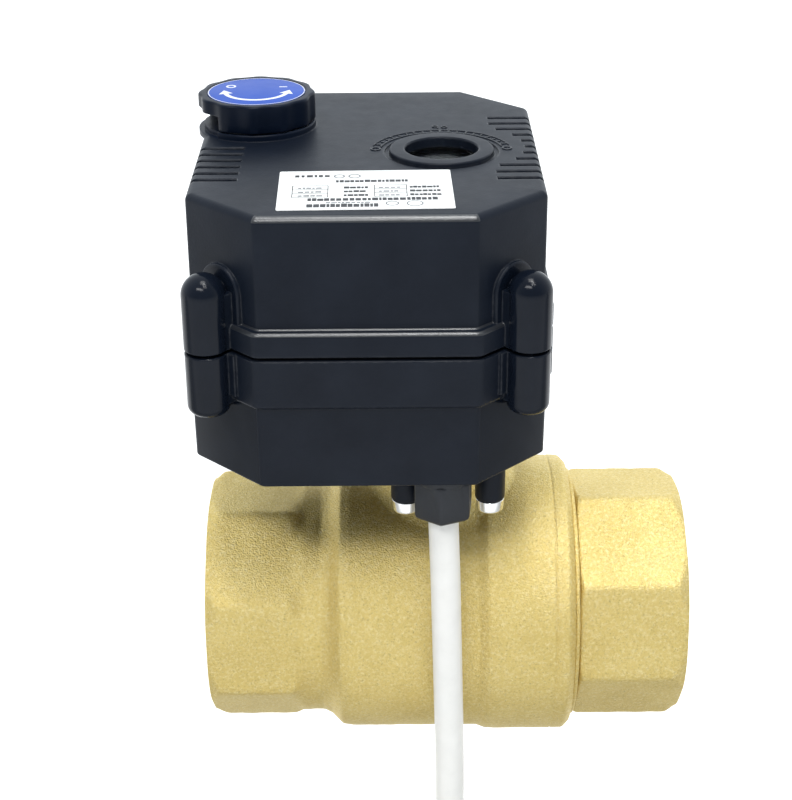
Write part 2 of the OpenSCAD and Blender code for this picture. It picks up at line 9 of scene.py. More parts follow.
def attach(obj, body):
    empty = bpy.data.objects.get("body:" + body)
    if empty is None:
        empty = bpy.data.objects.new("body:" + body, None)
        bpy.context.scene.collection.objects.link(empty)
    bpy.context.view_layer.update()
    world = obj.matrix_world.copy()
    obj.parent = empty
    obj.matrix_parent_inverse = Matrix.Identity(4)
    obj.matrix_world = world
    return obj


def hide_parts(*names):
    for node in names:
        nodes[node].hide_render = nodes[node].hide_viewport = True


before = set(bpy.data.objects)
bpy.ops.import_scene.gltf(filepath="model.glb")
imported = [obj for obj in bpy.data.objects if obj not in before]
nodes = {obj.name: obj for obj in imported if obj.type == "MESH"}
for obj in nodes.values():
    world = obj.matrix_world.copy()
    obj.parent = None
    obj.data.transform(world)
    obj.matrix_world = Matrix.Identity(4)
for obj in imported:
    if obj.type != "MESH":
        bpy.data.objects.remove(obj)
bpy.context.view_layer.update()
BASE, SPIN, KNOB = "valve_and_housing", "valve_spindle", "knob_body"

# All modelling below is in millimetres about the stem axis: x along the pipe, z up from the pipe's axis.
STEM = 39.5
UNIT = Matrix.Scale(0.001, 4) @ Matrix.Translation((STEM, 0, 0))


def P(x, y, z):
    return ((x + STEM) * 0.001, y * 0.001, z * 0.001)


# ------------------------------------------------------------------ camera
scene = bpy.context.scene
cam_data = bpy.data.cameras.new("camera")
cam_data.sensor_width = 36
cam_data.lens = 81.0
cam_data.clip_start, cam_data.clip_end = 0.01, 20
cam = bpy.data.objects.new("camera", cam_data)
scene.collection.objects.link(cam)
cam.matrix_world = (Matrix.Translation(P(-7.49, -273.65, 167.06))
                    @ Matrix.Rotation(math.radians(64.65), 4, "X") @ Matrix.Rotation(math.radians(-0.44), 4, "Z"))
scene.camera = cam


# ------------------------------------------------------------------ mesh helpers
def make(name, verts, faces):
    me = bpy.data.meshes.new(name)
    me.from_pydata([tuple(float(c) for c in v) for v in verts], [], [tuple(int(i) for i in f) for f in faces])
    me.update()
    o = bpy.data.objects.new(name, me)
    scene.collection.objects.link(o)
    return o


def fillet(pts, radii, seg=5, closed=True):
    """Rounds the corners of a 2D polyline."""
    pts = [np.array(p, float) for p in pts]
    n = len(pts)
    if not hasattr(radii, "__len__"):
        radii = [radii] * n
    out = []
    for i in range(n):
        p, r = pts[i], radii[i]
        if (not closed and i in (0, n - 1)) or r <= 0:
            out.append(p)
            continue
        a, b = pts[i - 1] - p, pts[(i + 1) % n] - p
        la, lb = np.linalg.norm(a), np.linalg.norm(b)
        a, b = a / la, b / lb
        half = math.acos(max(-1, min(1, float(a @ b)))) / 2
        t = min(r / math.tan(half), la * 0.49, lb * 0.49)
        r = t * math.tan(half)
        mid = (a + b) / np.linalg.norm(a + b)
        c = p + mid * r / math.sin(half)
        s, e = p + a * t - c, p + b * t - c
        ang = math.acos(max(-1, min(1, float(s @ e) / (r * r))))
        for k in range(seg + 1):
            w = k / seg
            if ang < 1e-6:
                out.append(c + s * (1 - w) + e * w)
            else:
                out.append(c + (math.sin((1 - w) * ang) * s + math.sin(w * ang) * e) / math.sin(ang))
    return out


def loft(name, rings, closed=False):
    """Quads between rings of the same count. Open ends get a cap, and rings run from the first to the last."""
    n = len(rings[0])
    verts = [v for r in rings for v in r]
    faces = []
    m = len(rings)
    for j in range(m if closed else m - 1):
        a, b = j * n, ((j + 1) % m) * n
        for i in range(n):
            k = (i + 1) % n
            faces.append((a + i, a + k, b + k, b + i))
    if not closed:
        faces.append(tuple(range(n - 1, -1, -1)))
        faces.append(tuple((m - 1) * n + i for i in range(n)))
    o = make(name, verts, faces)
    return fix_normals(o)


def fix_normals(o):
    bm = bmesh.new()
    bm.from_mesh(o.data)
    bmesh.ops.recalc_face_normals(bm, faces=bm.faces)
    if bm.calc_volume(signed=True) < 0:
        bmesh.ops.reverse_faces(bm, faces=bm.faces)
    bm.to_mesh(o.data)
    bm.free()
    return o


def lathe(name, profile, n=96, at=(0, 0), axis="z"):
    """Turns an (r, h) profile about an axis. Points at r 0 end the profile in a pole."""
    poles = [i for i, p in enumerate(profile) if p[0] < 1e-6]
    verts, faces, rows = [], [], []
    for r, h in profile:
        row = []
        for k in range(1 if r < 1e-6 else n):
            a = 2 * math.pi * k / n
            row.append(len(verts))
            verts.append((r * math.cos(a), r * math.sin(a), h))
        rows.append(row)
    m = len(rows)
    for j in range(m if not poles else m - 1):
        a, b = rows[j], rows[(j + 1) % m]
        for k in range(n):
            q = (k + 1) % n
            if len(a) == 1 and len(b) == 1:
                continue
            if len(a) == 1:
                faces.append((a[0], b[q], b[k]))
            elif len(b) == 1:
                faces.append((a[k], a[q], b[0]))
            else:
                faces.append((a[k], a[q], b[q], b[k]))
    o = make(name, verts, faces)
    if axis == "x":
        o.data.transform(Matrix.Rotation(math.radians(90), 4, "Y"))
    o.data.transform(Matrix.Translation((at[0], at[1], 0)))
    return fix_normals(o)


def turned(pts, radii, seg=6):
    """A profile for lathe(), its corners rounded; first and last point stay."""
    return [tuple(p) for p in fillet(pts, radii, seg, closed=False)]


def solid_box(name, lo, hi, r=0.0, seg=3):
    o = make(name, [(x, y, z) for x in (lo[0], hi[0]) for y in (lo[1], hi[1]) for z in (lo[2], hi[2])],
             [(0, 1, 3, 2), (4, 6, 7, 5), (0, 4, 5, 1), (2, 3, 7, 6), (0, 2, 6, 4), (1, 5, 7, 3)])
    fix_normals(o)
    if r > 0:
        bm = bmesh.new()
        bm.from_mesh(o.data)
        bmesh.ops.bevel(bm, geom=bm.edges[:] + bm.verts[:], offset=r, segments=seg, profile=0.5, affect="EDGES")
        bm.to_mesh(o.data)
        bm.free()
    return o


def prism(name, outline, z0, z1, r=0.0, seg=3, both=True):
    """Extrudes a convex outline along z, with rounded rims."""
    pts = np.array(outline, float)
    nxt, prv = np.roll(pts, -1, 0), np.roll(pts, 1, 0)
    e1, e0 = nxt - pts, pts - prv
    n1 = np.stack([e1[:, 1], -e1[:, 0]], 1) / (np.linalg.norm(e1, axis=1)[:, None] + 1e-9)
    n0 = np.stack([e0[:, 1], -e0[:, 0]], 1) / (np.linalg.norm(e0, axis=1)[:, None] + 1e-9)
    nn = n0 + n1
    nn /= (np.sum(nn * n1, 1)[:, None] + 1e-9)
    area = 0.5 * np.sum(pts[:, 0] * nxt[:, 1] - nxt[:, 0] * pts[:, 1])
    if area < 0:
        nn = -nn
    rings = []

    def ring(inset, z):
        q = pts - nn * inset
        rings.append([(p[0], p[1], z) for p in q])
    if r > 0 and both:
        for k in range(seg + 1):
            a = math.pi / 2 * k / seg
            ring(r * (1 - math.sin(a)), z0 + r * (1 - math.cos(a)))
    else:
        ring(0, z0)
    if r > 0:
        for k in range(seg + 1):
            a = math.pi / 2 * k / seg
            ring(r * (1 - math.cos(a)), z1 - r * (1 - math.sin(a)))
    else:
        ring(0, z1)
    return loft(name, rings)


def boolean(a, b, op, solver="EXACT"):
    m = a.modifiers.new("cut", "BOOLEAN")
    m.operation = op
    m.object = b
    m.solver = solver
    dg = bpy.context.evaluated_depsgraph_get()
    dg.update()
    me = bpy.data.meshes.new_from_object(a.evaluated_get(dg))
    if len(me.polygons) < 4:
        raise RuntimeError(f"boolean {op} of {a.name} and {b.name} left nothing")
    a.modifiers.clear()
    a.data = me
    me.name = a.name
    bpy.data.objects.remove(b)
    return a


def join(name, objs):
    bm = bmesh.new()
    for o in objs:
        o.data.transform(o.matrix_basis)
        bm.from_mesh(o.data)
    me = bpy.data.meshes.new(name)
    bm.to_mesh(me)
    bm.free()
    for o in objs:
        bpy.data.objects.remove(o)
    o = bpy.data.objects.new(name, me)
    scene.collection.objects.link(o)
    return o


def move(o, m):
    o.data.transform(m)
    return o


def done(o, body, material, replaces=(), angle=32, name=None):
    """Puts a piece that was modelled in millimetres into the frame, shades it and makes it ride."""
    bm = bmesh.new()
    bm.from_mesh(o.data)
    bmesh.ops.remove_doubles(bm, verts=bm.verts, dist=1e-5)
    bmesh.ops.dissolve_degenerate(bm, edges=bm.edges, dist=1e-5)
    bm.to_mesh(o.data)
    bm.free()
    o.data.transform(UNIT)
    o.data.materials.clear()
    for m in (material if isinstance(material, (list, tuple)) else [material]):
        o.data.materials.append(m)
    o.data.polygons.foreach_set("use_smooth", [True] * len(o.data.polygons))
    if angle:
        o.data.set_sharp_from_angle(angle=math.radians(angle))
    if name:
        o.name = name
    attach(o, body)
    if replaces:
        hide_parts(*replaces)
    return o


def smooth(a, b, x):
    t = np.clip((x - a) / (b - a), 0, 1)
    return t * t * (3 - 2 * t)


# ------------------------------------------------------------------ material helpers
def new_mat(name):
    m = bpy.data.materials.new(name)
    m.use_nodes = True
    nt = m.node_tree
    b = nt.nodes["Principled BSDF"]
    return m, nt, b


def node(nt, kind, **inputs):
    n = nt.nodes.new(kind)
    for k, v in inputs.items():
        if k in n.bl_rna.properties and k not in n.inputs:
            setattr(n, k, v)
        else:
            n.inputs[k.replace("_", " ")].default_value = v
    return n


def coords(nt):
    return nt.nodes.new("ShaderNodeTexCoord").outputs["Object"]


def noise_tex(nt, co, scale, detail=3.0, rough=0.55, distortion=0.0):
    n = nt.nodes.new("ShaderNodeTexNoise")
    n.inputs["Scale"].default_value = scale
    n.inputs["Detail"].default_value = detail
    n.inputs["Roughness"].default_value = rough
    n.inputs["Distortion"].default_value = distortion
    nt.links.new(co, n.inputs["Vector"])
    return n.outputs["Fac"]


def voronoi_tex(nt, co, scale, feature="F1"):
    n = nt.nodes.new("ShaderNodeTexVoronoi")
    n.feature = feature
    n.inputs["Scale"].default_value = scale
    nt.links.new(co, n.inputs["Vector"])
    return n.outputs["Distance"]


def ramp(nt, fac, stops):
    n = nt.nodes.new("ShaderNodeValToRGB")
    e = n.color_ramp.elements
    while len(e) < len(stops):
        e.new(0.5)
    for k, (pos, col) in enumerate(stops):
        e[k].position = pos
        e[k].color = (*col, 1) if len(col) == 3 else col
    nt.links.new(fac, n.inputs["Fac"])
    return n.outputs["Color"]


def to_range(nt, fac, a, b, lo=0.0, hi=1.0):
    n = nt.nodes.new("ShaderNodeMapRange")
    n.inputs["From Min"].default_value = lo
    n.inputs["From Max"].default_value = hi
    n.inputs["To Min"].default_value = a
    n.inputs["To Max"].default_value = b
    nt.links.new(fac, n.inputs["Value"])
    return n.outputs["Result"]


def mix_rgb(nt, fac, a, b, kind="MIX"):
    n = nt.nodes.new("ShaderNodeMix")
    n.data_type = "RGBA"
    n.blend_type = kind
    for sock, v in (("Factor", fac), ("A", a), ("B", b)):
        s = [i for i in n.inputs if i.name == sock and i.enabled][0]
        if hasattr(v, "node"):
            nt.links.new(v, s)
        else:
            s.default_value = v if sock == "Factor" else (*v, 1)
    return [o for o in n.outputs if o.enabled][0]


def math_n(nt, op, a, b=None, clamp=False):
    n = nt.nodes.new("ShaderNodeMath")
    n.operation = op
    n.use_clamp = clamp
    for k, v in enumerate((a, b)):
        if v is None:
            continue
        if hasattr(v, "node"):
            nt.links.new(v, n.inputs[k])
        else:
            n.inputs[k].default_value = v
    return n.outputs[0]


def bump(nt, height, distance, strength=1.0, normal=None):
    n = nt.nodes.new("ShaderNodeBump")
    n.inputs["Strength"].default_value = strength
    n.inputs["Distance"].default_value = distance
    nt.links.new(height, n.inputs["Height"])
    if normal is not None:
        nt.links.new(normal, n.inputs["Normal"])
    return n.outputs["Normal"]


def edge_normal(nt, radius):
    n = nt.nodes.new("ShaderNodeBevel")
    n.samples = 6
    n.inputs["Radius"].default_value = radius
    return n.outputs["Normal"]


def edge_mask(nt, radius, gain=6.0):
    """Close to 1 along convex and concave edges, from how far the rounded normal leaves the true one."""
    b = nt.nodes.new("ShaderNodeBevel")
    b.samples = 6
    b.inputs["Radius"].default_value = radius
    g = nt.nodes.new("ShaderNodeNewGeometry")
    d = nt.nodes.new("ShaderNodeVectorMath")
    d.operation = "DOT_PRODUCT"
    nt.links.new(b.outputs["Normal"], d.inputs[0])
    nt.links.new(g.outputs["Normal"], d.inputs[1])
    one = math_n(nt, "SUBTRACT", 1.0, d.outputs["Value"], clamp=True)
    return math_n(nt, "MULTIPLY", one, gain, clamp=True)


def plastic(name, base, rough=0.45, grain=0.28, depth=0.004, vary=0.15, spec=0.5, edge=0.00022, coat=0.0, wear_and_sheen=0.0):
    """Moulded plastic. grain is the texture's pitch and depth its height, both in mm."""
    m, nt, b = new_mat(name)
    co = coords(nt)
    big = noise_tex(nt, co, 120, 3)
    dark = tuple(c * (1 - vary) for c in base)
    light = tuple(min(1, c * (1 + vary) + 0.002) for c in base)
    colour = ramp(nt, big, [(0.3, dark), (0.7, light)])
    if wear_and_sheen > 0:
        w = edge_mask(nt, 0.0006)
        edge_noise = noise_tex(nt, co, 900, 4)
        f = math_n(nt, "MULTIPLY", w, to_range(nt, edge_noise, 0.0, wear_and_sheen, 0.35, 0.7))
        # partly scuffing, partly painted highlight: a lighter grey along the edges
        colour = mix_rgb(nt, f, colour, (0.10, 0.105, 0.11))
    nt.links.new(colour, b.inputs["Base Color"])
    fine = noise_tex(nt, co, 1000 / grain, 4, 0.65)
    cells = voronoi_tex(nt, co, 1000 / grain * 0.8)
    r = to_range(nt, noise_tex(nt, co, 420, 4), rough * 0.86, rough * 1.14)
    if wear_and_sheen > 0:
        r = math_n(nt, "SUBTRACT", r, math_n(nt, "MULTIPLY", w, rough * 0.45))
    nt.links.new(r, b.inputs["Roughness"])
    b.inputs["Specular IOR Level"].default_value = spec
    if coat:
        b.inputs["Coat Weight"].default_value = coat
        b.inputs["Coat Roughness"].default_value = 0.12
    h = math_n(nt, "ADD", fine, math_n(nt, "MULTIPLY", cells, 0.5))
    nt.links.new(bump(nt, h, depth * 0.001, 1.0, edge_normal(nt, edge)), b.inputs["Normal"])
    return m


def metal(name, base, rough=0.3, lines=None, grain=0.2, depth=0.002, vary=0.06, edge=0.00015):
    """Machined or plated metal. lines stretches the grain along an axis, as turning or grinding does."""
    m, nt, b = new_mat(name)
    co = coords(nt)
    if lines:
        mp = nt.nodes.new("ShaderNodeMapping")
        mp.inputs["Scale"].default_value = lines
        nt.links.new(co, mp.inputs["Vector"])
        co2 = mp.outputs["Vector"]
    else:
        co2 = co
    big = noise_tex(nt, co, 260, 3)
    colour = ramp(nt, big, [(0.3, tuple(c * (1 - vary) for c in base)), (0.7, tuple(min(1, c * (1 + vary)) for c in base))])
    nt.links.new(colour, b.inputs["Base Color"])
    b.inputs["Metallic"].default_value = 1.0
    fine = noise_tex(nt, co2, 1000 / grain, 4, 0.6)
    nt.links.new(to_range(nt, fine, rough * 0.75, rough * 1.25, 0.3, 0.7), b.inputs["Roughness"])
    nt.links.new(bump(nt, fine, depth * 0.001, 1.0, edge_normal(nt, edge)), b.inputs["Normal"])
    return m


def forged(name):
    """Shot-blasted forged brass: a matt peened skin with bright flecks, paler and browner patches and dark pits."""
    m, nt, b = new_mat(name)
    co = coords(nt)
    patch = noise_tex(nt, co, 80, 3, 0.55)
    colour = ramp(nt, patch, [(0.25, (0.695, 0.535, 0.190)), (0.5, (0.745, 0.585, 0.218)), (0.75, (0.800, 0.640, 0.260))])
    mottle = noise_tex(nt, co, 1900, 3, 0.68)
    colour = mix_rgb(nt, to_range(nt, mottle, 0.0, 0.70, 0.46, 0.74), colour, (0.92, 0.82, 0.48))
    pits = noise_tex(nt, co, 2900, 4, 0.7, 0.4)
    colour = mix_rgb(nt, to_range(nt, pits, 0.70, 0.0, 0.26, 0.46), colour, (0.36, 0.25, 0.08))
    nt.links.new(colour, b.inputs["Base Color"])
    b.inputs["Metallic"].default_value = 1.0
    fleck = voronoi_tex(nt, co, 4300)
    r = math_n(nt, "ADD", to_range(nt, fleck, 0.30, 0.50, 0.1, 0.6), math_n(nt, "MULTIPLY", mottle, 0.10))
    nt.links.new(r, b.inputs["Roughness"])
    peen = voronoi_tex(nt, co, 3600)
    soft = noise_tex(nt, co, 3200, 3, 0.6)
    h = math_n(nt, "ADD", math_n(nt, "MULTIPLY", peen, 0.6), soft)
    h = math_n(nt, "ADD", h, math_n(nt, "MULTIPLY", noise_tex(nt, co, 7800, 3, 0.6), 0.45))
    nt.links.new(bump(nt, h, 0.00013, 1.0, edge_normal(nt, 0.0003)), b.inputs["Normal"])
    return m


HOUSING = plastic("housing_black", (0.0045, 0.0075, 0.0145), 0.42, 0.36, 0.012, 0.12, 0.155, 0.00030, wear_and_sheen=0.35)
# painted highlight: a lighter, glossier copy of the housing finish for the front rims
EDGE_HIGHLIGHT = plastic("housing_edge_highlight", (0.010, 0.012, 0.016), 0.31, 0.36, 0.016, 0.12, 0.95, 0.00030)
GLOSSY = plastic("housing_gloss", (0.0035, 0.0060, 0.0120), 0.15, 1.2, 0.0015, 0.12, 0.17, 0.00025)
KNOB_MAT = plastic("knob_black", (0.002, 0.0055, 0.015), 0.36, 0.5, 0.004, 0.2, 0.13, 0.00025)
GLAND_MAT = plastic("gland_black", (0.010, 0.0125, 0.0175), 0.45, 0.4, 0.006, 0.2, 0.4, 0.0003)
BRASS = forged("forged_brass")
TURNED = metal("turned_brass", (0.78, 0.60, 0.25), 0.22, (1, 1, 6), 0.3, 0.002)
CHROME = metal("ball_chrome", (0.80, 0.81, 0.83), 0.08, None, 0.4, 0.0006, 0.03)
PTFE = plastic("white_ptfe", (0.86, 0.86, 0.84), 0.38, 0.5, 0.003, 0.03, 0.4)
STEEL = metal("steel", (0.60, 0.60, 0.61), 0.26, (1, 1, 8), 0.25, 0.002)
SCREW = metal("screw_steel", (0.80, 0.80, 0.80), 0.20, None, 0.35, 0.0015, 0.04)
PLATE = metal("plate_steel", (0.66, 0.67, 0.69), 0.33, (8, 1, 1), 0.25, 0.003)
RUBBER = plastic("black_rubber", (0.010, 0.010, 0.011), 0.72, 0.35, 0.006, 0.2, 0.3)
ACETAL = plastic("acetal_gear", (0.80, 0.78, 0.71), 0.40, 0.5, 0.003, 0.04, 0.45)
INDICATOR = plastic("indicator_grey", (0.50, 0.52, 0.52), 0.45, 0.4, 0.006, 0.06, 0.45)
CAM = plastic("cam_orange", (0.70, 0.16, 0.02), 0.42, 0.4, 0.004, 0.08)
PART = plastic("component_black", (0.020, 0.020, 0.022), 0.5, 0.3, 0.004, 0.2)
RED = plastic("plunger_red", (0.50, 0.025, 0.018), 0.3, 0.5, 0.002, 0.08)
TIE = plastic("tie_black", (0.012, 0.012, 0.013), 0.45, 0.4, 0.004, 0.2)
LABEL = plastic("white_label", (0.78, 0.79, 0.78), 0.42, 0.15, 0.0012, 0.02, 0.4, 0.00005)
INK = plastic("label_ink", (0.018, 0.019, 0.023), 0.5, 0.12, 0.0008, 0.35, 0.4, 0.00003)
INK_GREY = plastic("label_ink_grey", (0.15, 0.16, 0.17), 0.5, 0.12, 0.0008, 0.3, 0.4, 0.00003)
BLUE = plastic("blue_sticker", (0.016, 0.068, 0.37), 0.42, 0.4, 0.0015, 0.05, 0.16, 0.00005)
WHITE_INK = plastic("white_print", (0.66, 0.68, 0.76), 0.35, 0.3, 0.001, 0.04, 0.4, 0.00003)
WIRE_RED = plastic("wire_red", (0.50, 0.02, 0.015), 0.35, 0.5, 0.003, 0.06)
WIRE_BLACK = plastic("wire_black", (0.02, 0.02, 0.02), 0.35, 0.5, 0.003, 0.1)
WIRE_BLUE = plastic("wire_blue", (0.02, 0.07, 0.45), 0.35, 0.5, 0.003, 0.06)
COPPER = metal("tinned_copper", (0.80, 0.62, 0.48), 0.3, (1, 1, 4), 0.15, 0.004)


def cable_material():
    m, nt, b = new_mat("cable_white")
    co = coords(nt)
    colour = ramp(nt, noise_tex(nt, co, 160, 3), [(0.3, (0.81, 0.80, 0.765)), (0.7, (0.86, 0.85, 0.815))])
    smudge = to_range(nt, noise_tex(nt, co, 420, 4, 0.6), 0.0, 0.16, 0.52, 0.8)
    colour = mix_rgb(nt, smudge, colour, (0.66, 0.65, 0.62))
    nt.links.new(colour, b.inputs["Base Color"])
    nt.links.new(to_range(nt, noise_tex(nt, co, 600, 3), 0.30, 0.44), b.inputs["Roughness"])
    b.inputs["Subsurface Weight"].default_value = 0.06
    b.inputs["Subsurface Radius"].default_value = (0.9, 0.85, 0.8)
    b.inputs["Subsurface Scale"].default_value = 0.0008
    h = math_n(nt, "ADD", noise_tex(nt, co, 260, 2), math_n(nt, "MULTIPLY", noise_tex(nt, co, 2600, 3), 0.15))
    nt.links.new(bump(nt, h, 0.00003), b.inputs["Normal"])
    return m


def board_material():
    m, nt, b = new_mat("board_green")
    co = coords(nt)
    tracks = voronoi_tex(nt, co, 420, "DISTANCE_TO_EDGE")
    t = to_range(nt, tracks, 1.0, 0.0, 0.03, 0.05)
    colour = mix_rgb(nt, t, (0.010, 0.12, 0.045), (0.030, 0.22, 0.085))
    pads = voronoi_tex(nt, co, 300)
    colour = mix_rgb(nt, to_range(nt, pads, 1.0, 0.0, 0.10, 0.13), colour, (0.62, 0.60, 0.55))
    nt.links.new(colour, b.inputs["Base Color"])
    nt.links.new(to_range(nt, t, 0.34, 0.22), b.inputs["Roughness"])
    nt.links.new(bump(nt, t, 0.00004, 1.0, edge_normal(nt, 0.0001)), b.inputs["Normal"])
    return m


def window_material():
    m, nt, b = new_mat("clear_window")
    co = coords(nt)
    b.inputs["Base Color"].default_value = (0.93, 0.96, 0.96, 1)
    b.inputs["Transmission Weight"].default_value = 1.0
    b.inputs["IOR"].default_value = 1.5
    haze = noise_tex(nt, co, 500, 4, 0.6)
    nt.links.new(to_range(nt, haze, 0.08, 0.14, 0.4, 0.8), b.inputs["Roughness"])
    return m


CABLE_MAT, BOARD, WINDOW = cable_material(), board_material(), window_material()

# ------------------------------------------------------------------ cable, first of the pieces
ROUTE = [(-0.2, -25.6, 42), (-0.2, -25.6, 36), (-0.2, -25.6, 30), (0, -25.7, 24), (0.2, -25.9, 18),
         (0.4, -26.2, 10), (0.6, -26.5, 2), (0.8, -26.7, -6), (1, -26.9, -14), (1.1, -27, -22), (1.1, -27, -31)]
LOOP_R, LOOP_Z0, LOOP_Z1, STEP_Y, TAIL_Z = 14.4, -47.0, -89.6, -5.0, -118.0


def spline_through(pts, step=1.0):
    pts = [np.array(p, float) for p in pts]
    ext = [2 * pts[0] - pts[1]] + pts + [2 * pts[-1] - pts[-2]]
    out = []
    for i in range(1, len(ext) - 2):
        p0, p1, p2, p3 = ext[i - 1:i + 3]
        n = max(2, int(np.linalg.norm(p2 - p1) / step))
        for k in range(n):
            t = k / n
            out.append(0.5 * (2 * p1 + (p2 - p0) * t + (2 * p0 - 5 * p1 + 4 * p2 - p3) * t * t + (3 * p1 - p0 - 3 * p2 + p3) * t ** 3))
    out.append(pts[-1])
    return out


def cable_line():
    pts = spline_through(ROUTE)
    x, y = ROUTE[-1][0], ROUTE[-1][1]
    cx = x - LOOP_R
    for z in np.arange(-32, LOOP_Z0, -1.5):
        pts.append((x, y, z))
    for turn in range(2):
        for z in np.linspace(LOOP_Z0, LOOP_Z1, 25):
            pts.append((x, y, z))
        for a in np.linspace(0, 180, 33)[1:-1]:
            pts.append((cx + LOOP_R * math.cos(math.radians(a)), y, LOOP_Z1 - LOOP_R * math.sin(math.radians(a))))
        for z in np.linspace(LOOP_Z1, LOOP_Z0, 25):
            s = float(smooth(LOOP_Z1, LOOP_Z0, z))
            pts.append((cx - LOOP_R, y + STEP_Y * s, z))
        y += STEP_Y
        for a in np.linspace(180, 0, 33)[1:-1]:
            pts.append((cx + LOOP_R * math.cos(math.radians(a)), y, LOOP_Z0 + LOOP_R * math.sin(math.radians(a))))
    for z in np.linspace(LOOP_Z0, TAIL_Z, 44):
        pts.append((x, y, z))
    return [tuple(p) for p in pts]


def tube(name, pts, radius, material, sides=8):
    cu = bpy.data.curves.new(name, "CURVE")
    cu.dimensions = "3D"
    cu.bevel_depth = radius * 0.001
    cu.bevel_resolution = sides
    cu.use_fill_caps = True
    sp = cu.splines.new("POLY")
    sp.points.add(len(pts) - 1)
    for p, q in zip(sp.points, pts):
        p.co = (*P(*q), 1)
    sp.use_smooth = True
    cu.materials.append(material)
    o = bpy.data.objects.new(name, cu)
    scene.collection.objects.link(o)
    return o


cable = tube("cable_run", cable_line(), 2.4, CABLE_MAT, 8)
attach(cable, BASE)
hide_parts("cable", "cable_hank")

# the strap that holds the hank
cx = ROUTE[-1][0] - LOOP_R
cy = -27 + STEP_Y
outer = fillet([(-17.75, -8.3), (17.75, -8.3), (17.75, 8.3), (-17.75, 8.3)], 3.3, 8)
inner = fillet([(-16.85, -7.45), (16.85, -7.45), (16.85, 7.45), (-16.85, 7.45)], 2.45, 8)
rings = []
for ring_pts, z in ((outer, -65.7), (outer, -70.3), (inner, -70.3), (inner, -65.7)):
    rings.append([(cx + p[0], cy + p[1], z) for p in ring_pts])
strap = loft("tie_strap", rings, closed=True)
head = solid_box("tie_head", (cx - 21.4, cy - 3.2, -71.2), (cx - 17.2, cy + 3.2, -64.8), 0.7, 3)
tail = solid_box("tie_tail", (cx - 22.2, cy + 3.4, -70.2), (cx - 17.9, cy + 4.4, -65.8), 0.3, 2)
ribs = [solid_box(f"rib{k}", (cx - 14 + 1.5 * k, cy - 8.42, -69.6), (cx - 13.3 + 1.5 * k, cy - 8.1, -66.4), 0.08, 1) for k in range(19)]
tie = join("hank_tie", [strap, head, tail, *ribs])
done(tie, BASE, TIE, ["cable_tie"], 35)

wire_parts = []
for i, (mat_w, lean) in enumerate(((WIRE_RED, (0.2, 0.55)), (WIRE_BLACK, (-0.75, -0.25)), (WIRE_BLUE, (0.7, -0.2)))):
    a = math.radians(90 + 120 * i)
    x0, y0 = 1.1 + 1.1 * math.cos(a), -37 + 1.1 * math.sin(a)
    pts = [(x0 + lean[0] * t * t, y0 + lean[1] * t * t, TAIL_Z + 3 - 13.2 * t) for t in np.linspace(0, 1, 14)]
    w = tube(f"wire_{i}", pts, 0.72, mat_w, 5)
    e = pts[-1]
    tip = tube(f"wire_tip_{i}", [(e[0], e[1], e[2] + 0.5), (e[0] + lean[0] * 0.1, e[1] + lean[1] * 0.1, e[2] - 3.4)], 0.42, COPPER, 4)
    for o in (w, tip):
        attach(o, BASE)
    wire_parts += [w, tip]
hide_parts("wire_ends")

# ------------------------------------------------------------------ housing
HX0, HX1, HY0, HY1, CUT = -38.6, 15.3, -30.5, 35.2, 10.8
TOP = 80.8
TOWERS = [(12.45, -27.65, -45), (-35.75, -27.65, -135), (-35.75, 32.35, 135), (12.45, 32.35, 45)]


def outline(d, z, r=1.0, seg=5):
    c = CUT + 0.5858 * d
    a, b, e, f = HX0 - d, HX1 + d, HY0 - d, HY1 + d
    pts = [(a + c, e), (b - c, e), (b, e + c), (b, f - c), (b - c, f), (a + c, f), (a, f - c), (a, e + c)]
    return [(p[0], p[1], z) for p in fillet(pts, max(0.15, r + 0.6 * d), seg)]


def shell(name, inside, outside):
    """Walls from an inner floor or ceiling, over the rim, to the outer cap; each point is (offset, height)."""
    return loft(name, [outline(d, z) for d, z in [*inside, *outside]])


def radial_box(k, u0, u1, v, z0, z1):
    x, y, turn = TOWERS[k]
    o = solid_box("b", (u0, -v, z0), (u1, v, z1))
    return move(o, Matrix.Translation((x, y, 0)) @ Matrix.Rotation(math.radians(turn), 4, "Z"))


def arch(k):
    """The web between the cover's chamfer and its corner tower, with a round head and a rounded front rim."""
    x, y, turn = TOWERS[k]
    hw, zc = 4.25, 67.6
    pts = [(-hw, 59.36)] + [(hw * -math.cos(math.radians(a)), zc + hw * math.sin(math.radians(a))) for a in np.linspace(0, 180, 33)] + [(hw, 59.36)]
    o = prism("web", pts, -5.0, -2.9, 0.35, 4, both=False)
    # local x across, y up, z outward
    m = Matrix(((0, 0, 1, 0), (1, 0, 0, 0), (0, 1, 0, 0), (0, 0, 0, 1)))
    return move(fix_normals(move(o, m)), Matrix.Translation((x, y, 0)) @ Matrix.Rotation(math.radians(turn), 4, "Z"))


def dome(k):
    x, y, _ = TOWERS[k]
    r = 3.35
    prof = [(0, 59.355), (r - 0.15, 59.355), (r, 59.5), (r, 67.9)]
    prof += [(r * math.cos(math.radians(a)), 67.9 + r * math.sin(math.radians(a))) for a in np.linspace(0, 90, 15)[1:-1]] + [(0, 67.9 + r)]
    return lathe("dome", prof, 72, (x, y))


edge = fillet([(1.2, 59.35), (1.4, 59.5), (1.4, 63.25), (0, 63.25), (0, TOP), (-6, TOP)], [0, 0, 0.75, 0.35, 1.15, 0], 7, closed=False)
cover = shell("cover", [(-2.3, 78.6), (-2.0, 78.3), (-2.0, 59.35)], [tuple(p) for p in edge])
for k in range(4):
    cover = boolean(cover, arch(k), "UNION")
    cover = boolean(cover, radial_box(k, -4.9, 0.0, 3.0, 59.365, 68.2), "UNION")
    cover = boolean(cover, dome(k), "UNION")


